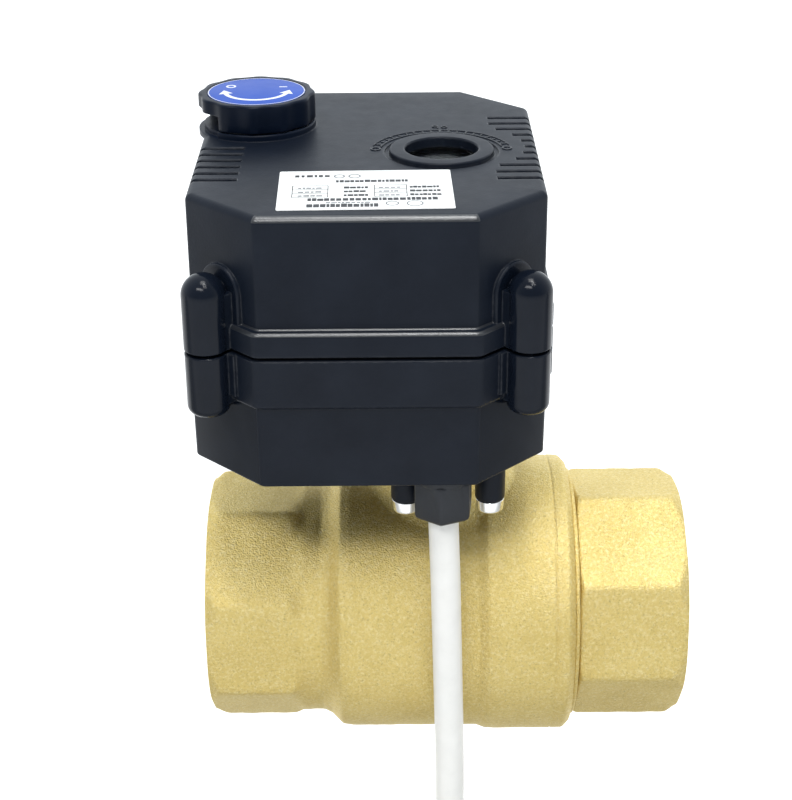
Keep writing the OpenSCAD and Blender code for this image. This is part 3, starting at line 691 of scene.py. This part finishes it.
# grooves moulded into the top, wrapping over the side edges
def groove(x0, x1, y):
    hw, s = 0.56, 1 if x1 > 0 else -1
    xe = HX1 if s > 0 else HX0
    side = [(x0, TOP - 0.5), (xe - 0.55 * s, TOP - 0.5), (xe - 0.5 * s, TOP - 2.7), (xe + 2 * s, TOP - 2.7), (xe + 2 * s, TOP + 1), (x0, TOP + 1)]
    o = make("g", [(p[0], y - hw, p[1]) for p in side] + [(p[0], y + hw, p[1]) for p in side],
             [tuple(range(6)), tuple(range(11, 5, -1))] + [(i, i + 6, (i + 1) % 6 + 6, (i + 1) % 6) for i in range(6)])
    fix_normals(o)
    # flare at the mouth, as the mould's edge is eased
    lip = make("l", [(x0 - 0.12, y - hw - 0.2, TOP + 0.05), (x0 - 0.12, y + hw + 0.2, TOP + 0.05), (xe - 0.9 * s, y + hw + 0.2, TOP + 0.05), (xe - 0.9 * s, y - hw - 0.2, TOP + 0.05),
                     (x0, y - hw, TOP - 0.2), (x0, y + hw, TOP - 0.2), (xe - 0.9 * s, y + hw, TOP - 0.2), (xe - 0.9 * s, y - hw, TOP - 0.2)],
               [(0, 1, 2, 3), (7, 6, 5, 4), (0, 4, 5, 1), (1, 5, 6, 2), (2, 6, 7, 3), (3, 7, 4, 0)])
    fix_normals(lip)
    return boolean(o, lip, "UNION")


cuts = []
for k in range(11):
    y = 18.1 - 3.15 * k
    cuts.append(groove(max(8.2, math.sqrt(max(0, 156 - (y - 2.5) ** 2)) + 0.9), HX1 + 2, y))
for k in range(5, 11):
    cuts.append(groove(-31.3, HX0 - 2, 18.1 - 3.15 * k))
cover = boolean(cover, join("grooves", cuts), "DIFFERENCE")

# window boss and raised rim, knob collar
rim = lathe("rim", turned([(5.75, 75.05), (9, 75.05), (9, 79.9), (8.25, 79.9), (8.25, 81.4), (5.75, 81.4)], [0, 0, 0, 0, 0.28, 0], 5), 128)
cover = boolean(cover, lathe("bore", [(0, 70), (5.74, 70), (5.74, 84), (0, 84)], 128), "DIFFERENCE")
cover = boolean(cover, rim, "UNION")
cover = boolean(cover, lathe("cut", [(0, 70), (7, 70), (7, 79.7), (5.75, 79.7), (5.75, 81.15), (6.0, 81.5), (6.0, 84), (0, 84)], 128), "DIFFERENCE")
cover = boolean(cover, lathe("moat", turned([(8.3, 80.45), (8.95, 80.45), (9.15, 81.2), (8.28, 81.2)], 0), 128), "DIFFERENCE")
KX, KY = -30.0, 15.2
collar = lathe("collar", turned([(0, 79.9), (9.65, 79.9), (9.65, 81.8), (9.2, 81.8), (9.0, 81.6), (0, 81.6)], [0, 0, 0.35, 0.1, 0.1, 0], 4), 128, (KX, KY))
wedge = prism("w", [(8.8 * math.cos(math.radians(a)), 8.8 * math.sin(math.radians(a))) for a in (232, 212, 191, 170, 150)]
              + [(14 * math.cos(math.radians(a)), 14 * math.sin(math.radians(a))) for a in (150, 170, 191, 212, 232)], TOP + 0.01, 84)
move(wedge, Matrix.Translation((KX, KY, 0)))
cover = boolean(cover, boolean(collar, wedge, "DIFFERENCE"), "UNION")
cover = boolean(cover, lathe("shaft_way", [(0, 70), (3.05, 70), (3.05, 90), (0, 90)], 64, (KX, KY)), "DIFFERENCE")


# the moulded dial round the window: a fine double arc, ticks, and plain marks at its ends
def arc_band(name, r0, r1, a0, a1, z0, z1, at=(0, 0), n=64):
    rings = []
    for a in np.linspace(math.radians(a0), math.radians(a1), n):
        c, s = math.cos(a), math.sin(a)
        rings.append([(at[0] + r * c, at[1] + r * s, z) for r, z in ((r0, z0), (r1, z0), (r1, z1), (r0, z1))])
    return loft(name, rings)


zt0, zt1 = TOP - 0.15, TOP + 0.13
marks = [arc_band("a1", 9.75, 10.05, 14, 166, zt0, zt1), arc_band("a2", 11.15, 11.3, 16, 164, zt0, zt1)]
for k in range(19):
    a = 20 + (160 - 20) * k / 18
    marks.append(arc_band("t", 10.15, 11.1 if k % 3 == 0 else 10.8, a - 0.75, a + 0.75, zt0, zt1, n=3))
for a in (7.5, 172.5):
    c = (10.5 * math.cos(math.radians(a)), 10.5 * math.sin(math.radians(a)))
    marks.append(lathe("m", [(0.55, zt0), (0.85, zt0), (0.85, zt1), (0.55, zt1)], 24, c))
# "90" at the middle of the dial
for s, flip in ((-0.75, 1), (0.75, 0)):
    marks.append(lathe("n", [(0.32, zt0), (0.55, zt0), (0.55, zt1), (0.32, zt1)], 20, (s, 13.0 + (0.3 if flip else 0))))
marks.append(solid_box("n9", (-0.42, 12.3, zt0), (-0.20, 13.2, zt1)))
marks = join("dial_marks", marks)
def gloss_towers(o, r=3.42, z0=40, z1=80):
    """The corner towers are smooth mould inserts: their faces take the second material."""
    for p in o.data.polygons:
        c = p.center
        x, y, z = c[0] * 1000 - STEM, c[1] * 1000, c[2] * 1000
        if z0 < z < z1 and min(math.hypot(x - t[0], y - t[1]) for t in TOWERS) < r:
            p.material_index = 1


def highlight_edges(o, index=2):
    """Painted highlight: the rounded front rims that face the light, the ledge and the top edge, take a lighter,
    glossier copy of the housing finish.
    """
    for p in o.data.polygons:
        c, n = p.center, p.normal
        y, z = c[1] * 1000, c[2] * 1000
        if y < HY0 + 3 and n[2] > 0.12 and n[1] < -0.12 and (62.2 < z < 63.5 or TOP - 1.4 < z < TOP):
            p.material_index = index


def dark_collar(o, index=3):
    for p in o.data.polygons:
        c = p.center
        x, y, z = c[0] * 1000 - STEM, c[1] * 1000, c[2] * 1000
        if math.hypot(x - KX, y - KY) < 9.9 and (z > TOP + 0.02 or (z > 79.8 and x < HX0 + 0.3)):
            p.material_index = index


cover_obj = done(cover, BASE, [HOUSING, GLOSSY, EDGE_HIGHLIGHT, KNOB_MAT], ["upper_cover"], 30, "cover_shell")
gloss_towers(cover_obj)
highlight_edges(cover_obj)
dark_collar(cover_obj)
done(marks, BASE, HOUSING, (), 30)

# lower housing
low_edge = fillet([(1.2, 58.85), (1.4, 58.7), (1.4, 51.3), (0.62, 50.75), (0.45, 37.46), (-1.9, 37.46), (-1.9, 38.15), (-6, 38.15)], [0, 0, 0.3, 0.3, 0.4, 0.25, 0.1, 0], 6, closed=False)
lower = shell("lower", [(-2.1, 40.2), (-1.8, 40.5), (-1.8, 58.85)], [tuple(p) for p in low_edge])
for k in range(4):
    x, y, _ = TOWERS[k]
    lower = boolean(lower, radial_box(k, -4.8, -0.4, 3.0, 50.6, 58.84), "UNION")
    lower = boolean(lower, radial_box(k, -4.7, -1.65, 4.25, 52.0, 58.835), "UNION")
    lower = boolean(lower, lathe("tl", turned([(0, 48.75), (3.3, 48.75), (3.3, 58.7), (3.15, 58.845), (0, 58.845)], [0, 1.9, 0, 0, 0], 8), 72, (x, y)), "UNION")
    lower = boolean(lower, lathe("tc", [(0, 45), (2.2, 45), (2.2, 51), (1.3, 51), (1.3, 60), (0, 60)], 48, (x, y)), "DIFFERENCE")
lower = boolean(lower, lathe("gs", [(0, 36), (4.75, 36), (4.75, 38.14), (0, 38.14)], 64, (-0.2, -25.6)), "DIFFERENCE")
for px, py in ((7.4, -20), (-6, -20), (7.4, 20), (-6, 20)):
    lower = boolean(lower, lathe("p", turned([(0, 29.7), (2.4, 29.7), (2.45, 38.9), (0, 38.9)], [0, 0.3, 0, 0], 4), 56, (px, py)), "UNION")
    lower = boolean(lower, lathe("q", [(0, 20), (1.6, 20), (1.6, 45), (0, 45)], 32, (px, py)), "DIFFERENCE")
lower = boolean(lower, lathe("s", [(0, 30), (7.1, 30), (7.1, 45), (0, 45)], 96), "DIFFERENCE")
lower = boolean(lower, lathe("gl", [(0, 30), (3.25, 30), (3.25, 45), (0, 45)], 64, (-0.2, -25.6)), "DIFFERENCE")
lower = done(lower, BASE, [HOUSING, GLOSSY], ["lower_housing"], 30, "lower_shell")
gloss_towers(lower)

# ------------------------------------------------------------------ valve
N_TH = 320
TH = np.arange(N_TH) * 2 * math.pi / N_TH


def oct_radius(turn, sharp=95):
    s = np.zeros_like(TH)
    for k in range(8):
        c = np.cos(TH - math.radians(turn + 45 * k))
        s += np.where(c > 0, c, 0) ** sharp
    return 20.0 / s ** (1 / sharp)


def smin(a, b, k):
    h = np.clip(0.5 + 0.5 * (b - a) / k, 0, 1)
    return b * (1 - h) + a * h - k * h * (1 - h)


def uneven(x, amp=0.035):
    """The forging's slow unevenness, a few hundredths of a millimetre."""
    return amp * (np.sin(1.7 * x + 2.1 * np.sin(3 * TH)) * np.sin(5 * TH + 0.4 * x) + 0.6 * np.sin(0.9 * x + 11 * TH + np.cos(2 * TH)))


def thread(x, r0, depth=1.15, pitch=2.309, hand=1):
    ph = (x / pitch - hand * TH / (2 * math.pi)) % 1.0
    tri = np.abs(2 * ph - 1)
    return r0 + depth * smooth(0.1, 0.9, tri)


def tube_of(name, rows):
    """rows: list of (x, radius array) round the pipe axis, closed on themselves."""
    rings = [[(x - STEM, r[i] * math.cos(TH[i]), r[i] * math.sin(TH[i])) for i in range(N_TH)] for x, r in rows]
    return loft(name, rings, closed=True)


def full(r):
    return np.full(N_TH, float(r))


OCT_L = oct_radius(-1.5)
prof = fillet([(14, 20.5), (19.2, 20.5), (20.6, 21.2), (22.4, 23.0), (24.0, 23.3), (45.5, 23.3), (47.1, 23.95), (60.4, 23.95), (61.4, 22.9)],
              [0, 1.2, 0.6, 0.6, 1.5, 1.0, 1.0, 0.9, 0], 6, closed=False)
px_, pr_ = np.array([p[0] for p in prof]), np.array([p[1] for p in prof])


def body_r(x):
    rev = float(np.interp(x, px_, pr_))
    if 58.05 < x < 58.55:
        rev -= 0.14 * math.cos((x - 58.3) / 0.25 * math.pi / 2) ** 2
    w = float(smooth(13.6, 16.4, np.array(x)))
    ch = 20.25 + 1.55 * float(smooth(0, 2.4, np.array(x)))
    left = smin(OCT_L, full(ch), 0.5)
    return left * (1 - w) + rev * w + uneven(x)


rows = []
xs = [0.12, 0.3, 0.6, 0.9, 1.3, 1.8, 2.4] + list(np.arange(3.2, 12.8, 1.1)) + list(np.arange(13.2, 25, 0.32)) + list(np.arange(25.6, 45.0, 1.3)) \
    + list(np.arange(45.3, 47.9, 0.25)) + list(np.arange(48.8, 57.6, 1.2)) + [57.9, 58.05, 58.15, 58.25, 58.35, 58.45, 58.55, 58.7] + list(np.arange(59.2, 61.3, 0.25)) + [61.36]
rows.append((0.0, body_r(0.12) - 0.22))
for x in xs:
    rows.append((x, body_r(x)))
rows.append((61.4, full(22.6)))
rows.append((61.4, full(20.05)))
rows.append((57.0, full(20.05)))
rows.append((57.0, full(18.0)))
rows.append((22.0, full(18.0)))
rows.append((22.0, full(11.0)))
rows.append((15.1, full(11.0)))
rows.append((15.1, full(15.15)))
for x in np.arange(14.6, 0.9, -0.26):
    w = float(smooth(14.6, 13.2, np.array(x))) if x > 13.2 else 1.0
    rows.append((x, 15.15 + (thread(x, 15.15) - 15.15) * w))
rows.append((0.75, full(16.35)))
rows.append((0.0, full(16.95)))
body = tube_of("body", rows)


# the stem tower, its foot blended into the barrel
def surf_z(x, y):
    rr = np.interp(x + STEM, px_, pr_)
    return math.sqrt(max(1.0, rr * rr - y * y))


rings = []
nt_, f = 128, 3.2
for rad, dz in ((4.6, None), (10.5 + f + 0.5, -1.6)):
    if dz is None:
        rings.append([(rad * math.cos(a), rad * math.sin(a), 15.0) for a in np.arange(nt_) * 2 * math.pi / nt_])
    else:
        rings.append([(rad * math.cos(a), rad * math.sin(a), surf_z(rad * math.cos(a), rad * math.sin(a)) + dz) for a in np.arange(nt_) * 2 * math.pi / nt_])
for a in np.linspace(90, 0, 9):
    rad, h = 10.5 + f * (1 - math.cos(math.radians(a))), f * (1 - math.sin(math.radians(a)))
    rings.append([(rad * math.cos(t), rad * math.sin(t), surf_z(rad * math.cos(t), rad * math.sin(t)) + h - 0.12) for t in np.arange(nt_) * 2 * math.pi / nt_])
for rad, z in ((10.5, 33.5), (10.5, 37.4), (10.2, 37.95), (9.9, 38.08), (7.3, 38.08), (7.0, 38.4), (7.0, 43.7), (6.6, 44.2), (4.6, 44.2)):
    rings.append([(rad * math.cos(t), rad * math.sin(t), z) for t in np.arange(nt_) * 2 * math.pi / nt_])
tower = loft("tower", rings)
body = boolean(body, tower, "UNION")
body = boolean(body, lathe("stem_way", [(0, 10), (7.2, 10), (7.2, 19.4), (4.55, 19.4), (4.55, 60), (0, 60)], 96), "DIFFERENCE")
done(body, BASE, BRASS, ["valve_body"], 40, "valve_forging")

OCT_R = oct_radius(-9.5)


def end_r(x):
    ch = 20.25 + 1.55 * float(smooth(80.5, 78.1, np.array(x))) if x > 78.1 else 21.8
    near = 21.0 + 0.8 * float(smooth(62.3, 63.5, np.array(x)))
    return smin(smin(OCT_R, full(ch), 0.5), full(near), 0.4) + uneven(x * 1.07 + 5)


rows = [(57.05, full(19.7)), (57.2, full(19.92)), (62.3, full(19.92)), (62.3, end_r(62.3) - 0.4), (62.45, end_r(62.4) - 0.12)]
for x in list(np.arange(62.7, 64.5, 0.3)) + list(np.arange(65.3, 77.6, 1.2)) + list(np.arange(78.0, 80.3, 0.3)):
    rows.append((x, end_r(x)))
rows.append((80.4, end_r(80.38) - 0.05))
rows.append((80.5, end_r(80.38) - 0.25))
rows.append((80.5, full(16.95)))
rows.append((79.75, full(16.35)))
for x in np.arange(79.6, 65.9, -0.26):
    w = float(smooth(65.9, 67.3, np.array(x))) if x < 67.3 else 1.0
    rows.append((x, 15.15 + (thread(x, 15.15, hand=-1) - 15.15) * w))
rows.append((65.45, full(15.15)))
rows.append((65.45, full(11.0)))
rows.append((57.05, full(11.0)))
end = tube_of("end", rows)
done(end, BASE, BRASS, ["end_connector"], 40, "end_piece")
gasket = lathe("joint_ring", turned([(19.97, 61.48), (21.55, 61.48), (21.55, 62.23), (19.97, 62.23)], [0, 0.2, 0.2, 0], 4), 160, axis="x")
move(gasket, Matrix.Translation((-STEM, 0, 0)))
done(gasket, BASE, BRASS, ["end_connector_seal"], 35)

# ------------------------------------------------------------------ gland and under-side screws
turn = math.radians(24)
hexa = lambda r: [(-0.2 + r * math.cos(turn + math.radians(60 * k)), -25.6 + r * math.sin(turn + math.radians(60 * k))) for k in range(6)]
rings = []
for r, z in ((4.25, 29.8), (4.75, 30.2), (4.95, 30.7), (4.95, 36.1), (4.85, 36.4), (4.5, 36.5)):
    rings.append([(p[0], p[1], z) for p in fillet(hexa(r), 0.35, 4)])
nut = loft("nut", rings)
collar = lathe("c", turned([(0, 36.0), (4.35, 36.0), (4.5, 36.6), (4.5, 38.13), (0, 38.13)], [0, 0.2, 0.2, 0.1, 0], 3), 72, (-0.2, -25.6))
nut = boolean(nut, collar, "UNION")
nut = boolean(nut, lathe("s", [(0, 37.5), (3.2, 37.5), (3.2, 41.2), (0, 41.2)], 64, (-0.2, -25.6)), "UNION")
nut = boolean(nut, lathe("h", [(0, 29.2), (2.95, 29.2), (2.45, 30.4), (2.45, 50), (0, 50)], 64, (-0.2, -25.6)), "DIFFERENCE")
done(nut, BASE, GLAND_MAT, ["cable_gland"], 28, "gland_nut")

heads = []
for px, py in ((7.4, -20), (-6, -20), (7.4, 20), (-6, 20)):
    h = lathe("h", turned([(0, 27.5), (2.2, 27.5), (2.3, 29.65), (1.45, 29.68), (1.45, 46.5), (1.1, 47), (0, 47)], [0, 0.55, 0.1, 0, 0, 0, 0], 6), 56, (px, py))
    for a in (20, 110):
        b = solid_box("x", (-1.45, -0.33, 27), (1.45, 0.33, 28.6), 0.1, 1)
        move(b, Matrix.Translation((px, py, 0)) @ Matrix.Rotation(math.radians(a + 15 * px), 4, "Z"))
        h = boolean(h, b, "DIFFERENCE")
    heads.append(h)
done(join("base_screws", heads), BASE, SCREW, ["gearbox_screws"], 30)

heads = []
for x, y, _ in TOWERS:
    h = lathe("h", turned([(0, 48.85), (2.1, 48.85), (2.1, 50.8), (1.0, 50.85), (1.0, 65), (0, 65.3)], [0, 0.5, 0.1, 0, 0, 0], 5), 48, (x, y))
    for a in (45, 135):
        b = solid_box("x", (-1.3, -0.3, 48), (1.3, 0.3, 49.8), 0.08, 1)
        move(b, Matrix.Translation((x, y, 0)) @ Matrix.Rotation(math.radians(a), 4, "Z"))
        h = boolean(h, b, "DIFFERENCE")
    heads.append(h)
done(join("tower_screws", heads), BASE, SCREW, ["cover_screws"], 30)

# ------------------------------------------------------------------ knob and its sticker
KN = 240
ka = np.arange(KN) * 2 * math.pi / KN


def lobed(r, z, amp=0.22):
    return [((r - amp + amp * math.cos(12 * a)) * math.cos(a), (r - amp + amp * math.cos(12 * a)) * math.sin(a), z) for a in ka]


def disc_ring(r, z):
    return [(r * math.cos(a), r * math.sin(a), z) for a in ka]


rings = [disc_ring(3.01, 84.3), disc_ring(3.01, 82.0), disc_ring(4.3, 82.0), disc_ring(4.4, 82.15), disc_ring(4.4, 84.3), disc_ring(8.1, 84.3), disc_ring(8.1, 82.1), disc_ring(8.2, 82.0),
         lobed(9.5, 82.0, 0.2), lobed(9.6, 82.15)]
for z in (83.2, 84.2, 85.2, 86.1):
    rings.append(lobed(9.6, z))
for a in np.linspace(0, 90, 6)[1:]:
    rings.append(lobed(9.6 - 0.42 * (1 - math.cos(math.radians(a))), 86.1 + 0.42 * math.sin(math.radians(a)), 0.22 - 0.06 * a / 90))
rings += [disc_ring(8.3, 86.53), disc_ring(8.12, 86.36), disc_ring(3.01, 86.34)]
knob = loft("knob", rings)
cutter = prism("k", [(0.5 * math.cos(math.radians(a)), 0.5 * math.sin(math.radians(a))) for a in (232, 190, 150)]
               + [(r * math.cos(math.radians(a)), r * math.sin(math.radians(a))) for r, a in ((14, 150), (16, 190), (14, 232))], 80, 84.32)
hub = lathe("hk", [(0, 79), (4.4, 79), (4.4, 85), (0, 85)], 96)
cutter = boolean(cutter, hub, "DIFFERENCE")
knob = boolean(knob, cutter, "DIFFERENCE")
move(knob, Matrix.Translation((KX, KY, 0)))
done(knob, KNOB, KNOB_MAT, ["manual_knob"], 30, "knob_cap")

st = lathe("st", turned([(0, 86.36), (7.95, 86.36), (7.98, 86.50), (0, 86.50)], [0, 0, 0.05, 0], 3), 144, (KX, KY))
done(st, KNOB, BLUE, ["knob_sticker"], 30, "knob_badge")
z0, z1 = 86.49, 86.515
ink = [arc_band("r", 7.80, 7.93, 0, 357.5, z0, z1, (KX, KY), 120)]
ink.append(arc_band("arc", 4.75, 5.5, 196, 344, z0, z1, (KX, KY), 60))


def arrow(a_deg, sign):
    a = math.radians(a_deg)
    c, s = math.cos(a), math.sin(a)
    tx, ty = -s * sign, c * sign
    bx, by = KX + 5.12 * c, KY + 5.12 * s
    pts = [(bx + 1.15 * c, by + 1.15 * s), (bx + 2.1 * tx - 0.1 * c, by + 2.1 * ty - 0.1 * s), (bx - 1.15 * c, by - 1.15 * s)]
    return fix_normals(make("ar", [(p[0], p[1], z0) for p in pts] + [(p[0], p[1], z1) for p in pts], [(0, 1, 2), (5, 4, 3), (0, 3, 4, 1), (1, 4, 5, 2), (2, 5, 3, 0)]))


ink += [arrow(344, 1), arrow(196, -1)]
for cxk, cyk in ((KX - 4.4, KY + 3.0),):
    ink.append(lathe("o", [(0.5, z0), (0.85, z0), (0.85, z1), (0.5, z1)], 28, (cxk, cyk)))
ink.append(solid_box("i", (KX + 3.6, KY + 2.4, z0), (KX + 4.9, KY + 2.75, z1)))
done(join("knob_print", ink), KNOB, WHITE_INK, (), 30)

# ------------------------------------------------------------------ rating label, with plain bars in place of print
LX, LY, LT = -11.8, -18.6, math.radians(1)


def on_label(o):
    return move(o, Matrix.Translation((LX, LY, 0)) @ Matrix.Rotation(LT, 4, "Z"))


lab = prism("lab", fillet([(-13, -8.9), (13, -8.9), (13, 8.9), (-13, 8.9)], 0.35, 4), TOP, TOP + 0.115, 0.03, 2, both=False)
done(on_label(lab), BASE, LABEL, ["rating_label"], 30, "label_sheet")
zl0, zl1 = TOP + 0.112, TOP + 0.135
dark, grey = [], []
bar = lambda x0, x1, y0, y1: solid_box("b", (x0, y0, zl0), (x1, y1, zl1))


def words(x0, x1, y, h, seed, gap=0.35, into=dark):
    """A line of print as short bars of uneven length."""
    x, k = x0, seed
    while x < x1 - 0.4:
        k = (k * 37 + 11) % 101
        w = 0.35 + 0.55 * (k / 100)
        e = min(x + w, x1)
        into.append(bar(x, e, y, y + h * (0.82 + 0.18 * ((k * 7) % 10) / 10)))
        x = e + gap * (0.5 + ((k * 13) % 10) / 18)


words(-8.6, 2.0, -7.9, 1.55, 5, 0.16)
words(-8.5, 10.7, -5.1, 1.3, 17, 0.2)
words(-5.8, 1.0, -6.15, 0.5, 23, 0.25, grey)
for k in range(3):
    y = -3.1 + 1.75 * k
    words(6.6, 11.2, y, 0.95, 31 + k, 0.15)
    words(-3.2, 0.4, y, 0.95, 41 + k, 0.15)
    words(2.0, 5.2, y + 0.1, 0.55, 51 + k, 0.25, grey)
    words(-10.0, -6.2, y + 0.1, 0.55, 61 + k, 0.25, grey)
for x0, x1 in ((1.3, 6.2), (-10.9, -5.5)):
    for k in range(4):
        dark.append(bar(x0, x1, -3.45 + 1.75 * k, -3.33 + 1.75 * k))
    for x in (x0, x1 - 0.12):
        dark.append(bar(x, x + 0.12, -3.45, 1.92))
words(-4.4, 6.4, 3.3, 1.15, 71, 0.16)
words(-10.6, -5.0, 5.9, 1.1, 83, 0.4)
for cxl, cyl, r in ((7.2, -6.6, 1.25), (3.9, -6.5, 1.0), (-1.6, 6.2, 0.95), (-3.9, 6.2, 0.85)):
    grey.append(lathe("o", [(r - 0.22, zl0), (r, zl0), (r, zl1), (r - 0.22, zl1)], 32, (cxl, cyl)))
done(on_label(join("label_print_dark", dark)), BASE, INK, (), 30)
done(on_label(join("label_print_grey", grey)), BASE, INK_GREY, (), 30)

# ------------------------------------------------------------------ window and indicator
win = lathe("win", turned([(0, 78.51), (6.9, 78.51), (6.9, 79.28), (0, 79.28)], [0, 0.12, 0.12, 0], 3), 96)
done(win, BASE, WINDOW, ["indicator_window"], 30, "window_pane")
ind = lathe("ind", turned([(0, 74.97), (5.6, 74.97), (5.6, 75.93), (0, 75.93)], [0, 0.15, 0.2, 0], 3), 96)
ind = boolean(ind, solid_box("bar", (-4.7, -0.5, 75.7), (4.7, 0.5, 76.13), 0.08, 2), "UNION")
ind = boolean(ind, lathe("h", [(0, 74), (1.5, 74), (1.5, 75.5), (0, 75.5)], 40), "DIFFERENCE")
done(ind, SPIN, INDICATOR, ["indicator_disc"], 30, "indicator_wheel")

# ------------------------------------------------------------------ finishes of the CAD nodes that stay
FINISH = {
    "tower_nut": TURNED, "plate_spacers": TURNED, "board_standoffs": TURNED, "output_bush": TURNED, "motor_pinion": TURNED,
    "ball": CHROME, "seat_inlet": PTFE, "seat_outlet": PTFE, "thrust_washer": PTFE,
    "stem": STEEL, "tower_washer": STEEL, "locating_pins": STEEL, "pillars": STEEL, "gear_axles": STEEL, "output_shaft": STEEL,
    "motor_shaft": STEEL, "knob_shaft": STEEL, "motor": STEEL,
    "stem_o_rings": RUBBER, "housing_seal": RUBBER, "knob_o_ring": RUBBER, "window_seal": RUBBER,
    "plate_screws": SCREW, "board_screws": SCREW, "lower_plate": PLATE, "upper_plate": PLATE,
    "output_gear": ACETAL, "second_gear": ACETAL, "first_gear": ACETAL, "knob_gear": ACETAL,
    "switch_cam": CAM, "limit_switch_open": PART, "limit_switch_closed": PART, "board_parts": PART,
    "plunger_open": RED, "plunger_closed": RED, "circuit_board": BOARD, "inner_leads": WIRE_RED,
}
for n, m in FINISH.items():
    o = nodes[n]
    o.data.materials.clear()
    o.data.materials.append(m)
    for p in o.data.polygons:
        p.material_index = 0
for n, o in nodes.items():
    if not o.hide_render and n not in FINISH:
        raise RuntimeError(f"CAD node {n} shows and has no finish")

# ------------------------------------------------------------------ stage and light
scene.view_settings.view_transform = "Standard"
scene.view_settings.look = "None"
scene.view_settings.exposure = 0
scene.view_settings.gamma = 1

fl = bpy.data.meshes.new("floor")
fl.from_pydata([(-6, -6, -0.1335), (6, -6, -0.1335), (6, 6, -0.1335), (-6, 6, -0.1335)], [], [(0, 1, 2, 3)])
floor = bpy.data.objects.new("floor", fl)
scene.collection.objects.link(floor)
fm, nt, b = new_mat("floor")
fy = nt.nodes.new("ShaderNodeSeparateXYZ")
nt.links.new(coords(nt), fy.inputs["Vector"])


def step_y(y0, y1):
    n = nt.nodes.new("ShaderNodeMapRange")
    n.interpolation_type = "SMOOTHSTEP"
    n.inputs["From Min"].default_value = y0
    n.inputs["From Max"].default_value = y1
    nt.links.new(fy.outputs["Y"], n.inputs["Value"])
    return n.outputs["Result"]


# painted shadow: the floor is pale and glows behind and well in front, and is painted darker and dimmer straight below
# the valve, where its shadow falls
white = math_n(nt, "ADD", step_y(0.02, 0.10), math_n(nt, "SUBTRACT", 1.0, step_y(-0.22, -0.08)), clamp=True)
nt.links.new(mix_rgb(nt, white, (0.38, 0.38, 0.37), (0.80, 0.80, 0.80)), b.inputs["Base Color"])
# the floor's glow also drops in the painted shadow below the valve
glow = math_n(nt, "ADD", math_n(nt, "MULTIPLY", white, 0.20), math_n(nt, "MULTIPLY", step_y(0.02, 0.10), 0.30))
nt.links.new(math_n(nt, "ADD", glow, 0.07), b.inputs["Emission Strength"])
b.inputs["Roughness"].default_value = 0.9
b.inputs["Specular IOR Level"].default_value = 0.0
b.inputs["Emission Color"].default_value = (1, 1, 1, 1)
fl.materials.append(fm)

# plain studio: an even pale room, dimmer in front of the object, and a large soft box overhead
world = bpy.data.worlds.new("world")
scene.world = world
world.use_nodes = True
wt = world.node_tree
bg = wt.nodes["Background"]
bg.inputs["Strength"].default_value = 1.0
wc = wt.nodes.new("ShaderNodeTexCoord")
sep = wt.nodes.new("ShaderNodeSeparateXYZ")
wt.links.new(wc.outputs["Generated"], sep.inputs["Vector"])
front = wt.nodes.new("ShaderNodeMapRange")
front.interpolation_type = "SMOOTHSTEP"
front.inputs["From Min"].default_value = -0.9
front.inputs["From Max"].default_value = 0.7
front.inputs["To Min"].default_value = 0.34
front.inputs["To Max"].default_value = 1.38
wt.links.new(sep.outputs["Y"], front.inputs["Value"])
tint = wt.nodes.new("ShaderNodeMix")
tint.data_type = "RGBA"
tint.blend_type = "MULTIPLY"
tint.inputs[0].default_value = 1.0
tint.inputs[6].default_value = (0.90, 0.955, 1.0, 1)
wt.links.new(front.outputs["Result"], tint.inputs[7])
wt.links.new(tint.outputs[2], bg.inputs["Color"])


def area(name, loc, target, size, power, size_y=None, colour=(1, 1, 1)):
    d = bpy.data.lights.new(name, "AREA")
    d.energy = power
    d.shape = "RECTANGLE"
    d.size = size
    d.size_y = size_y or size
    d.color = colour
    o = bpy.data.objects.new(name, d)
    scene.collection.objects.link(o)
    o.location = loc
    o.rotation_euler = (Vector(target) - Vector(loc)).to_track_quat("-Z", "Y").to_euler()
    return o


T = P(-5, 0, 35)
area("top", (0.03, -0.12, 0.95), T, 0.30, 2.4)
area("key", (-0.18, -0.62, 0.74), T, 0.50, 3.2, 0.14)
area("strip_a", (0.10, -0.30, 0.72), T, 0.030, 0.9, 0.34)
area("strip_b", (0.19, -0.28, 0.72), T, 0.030, 0.9, 0.34)
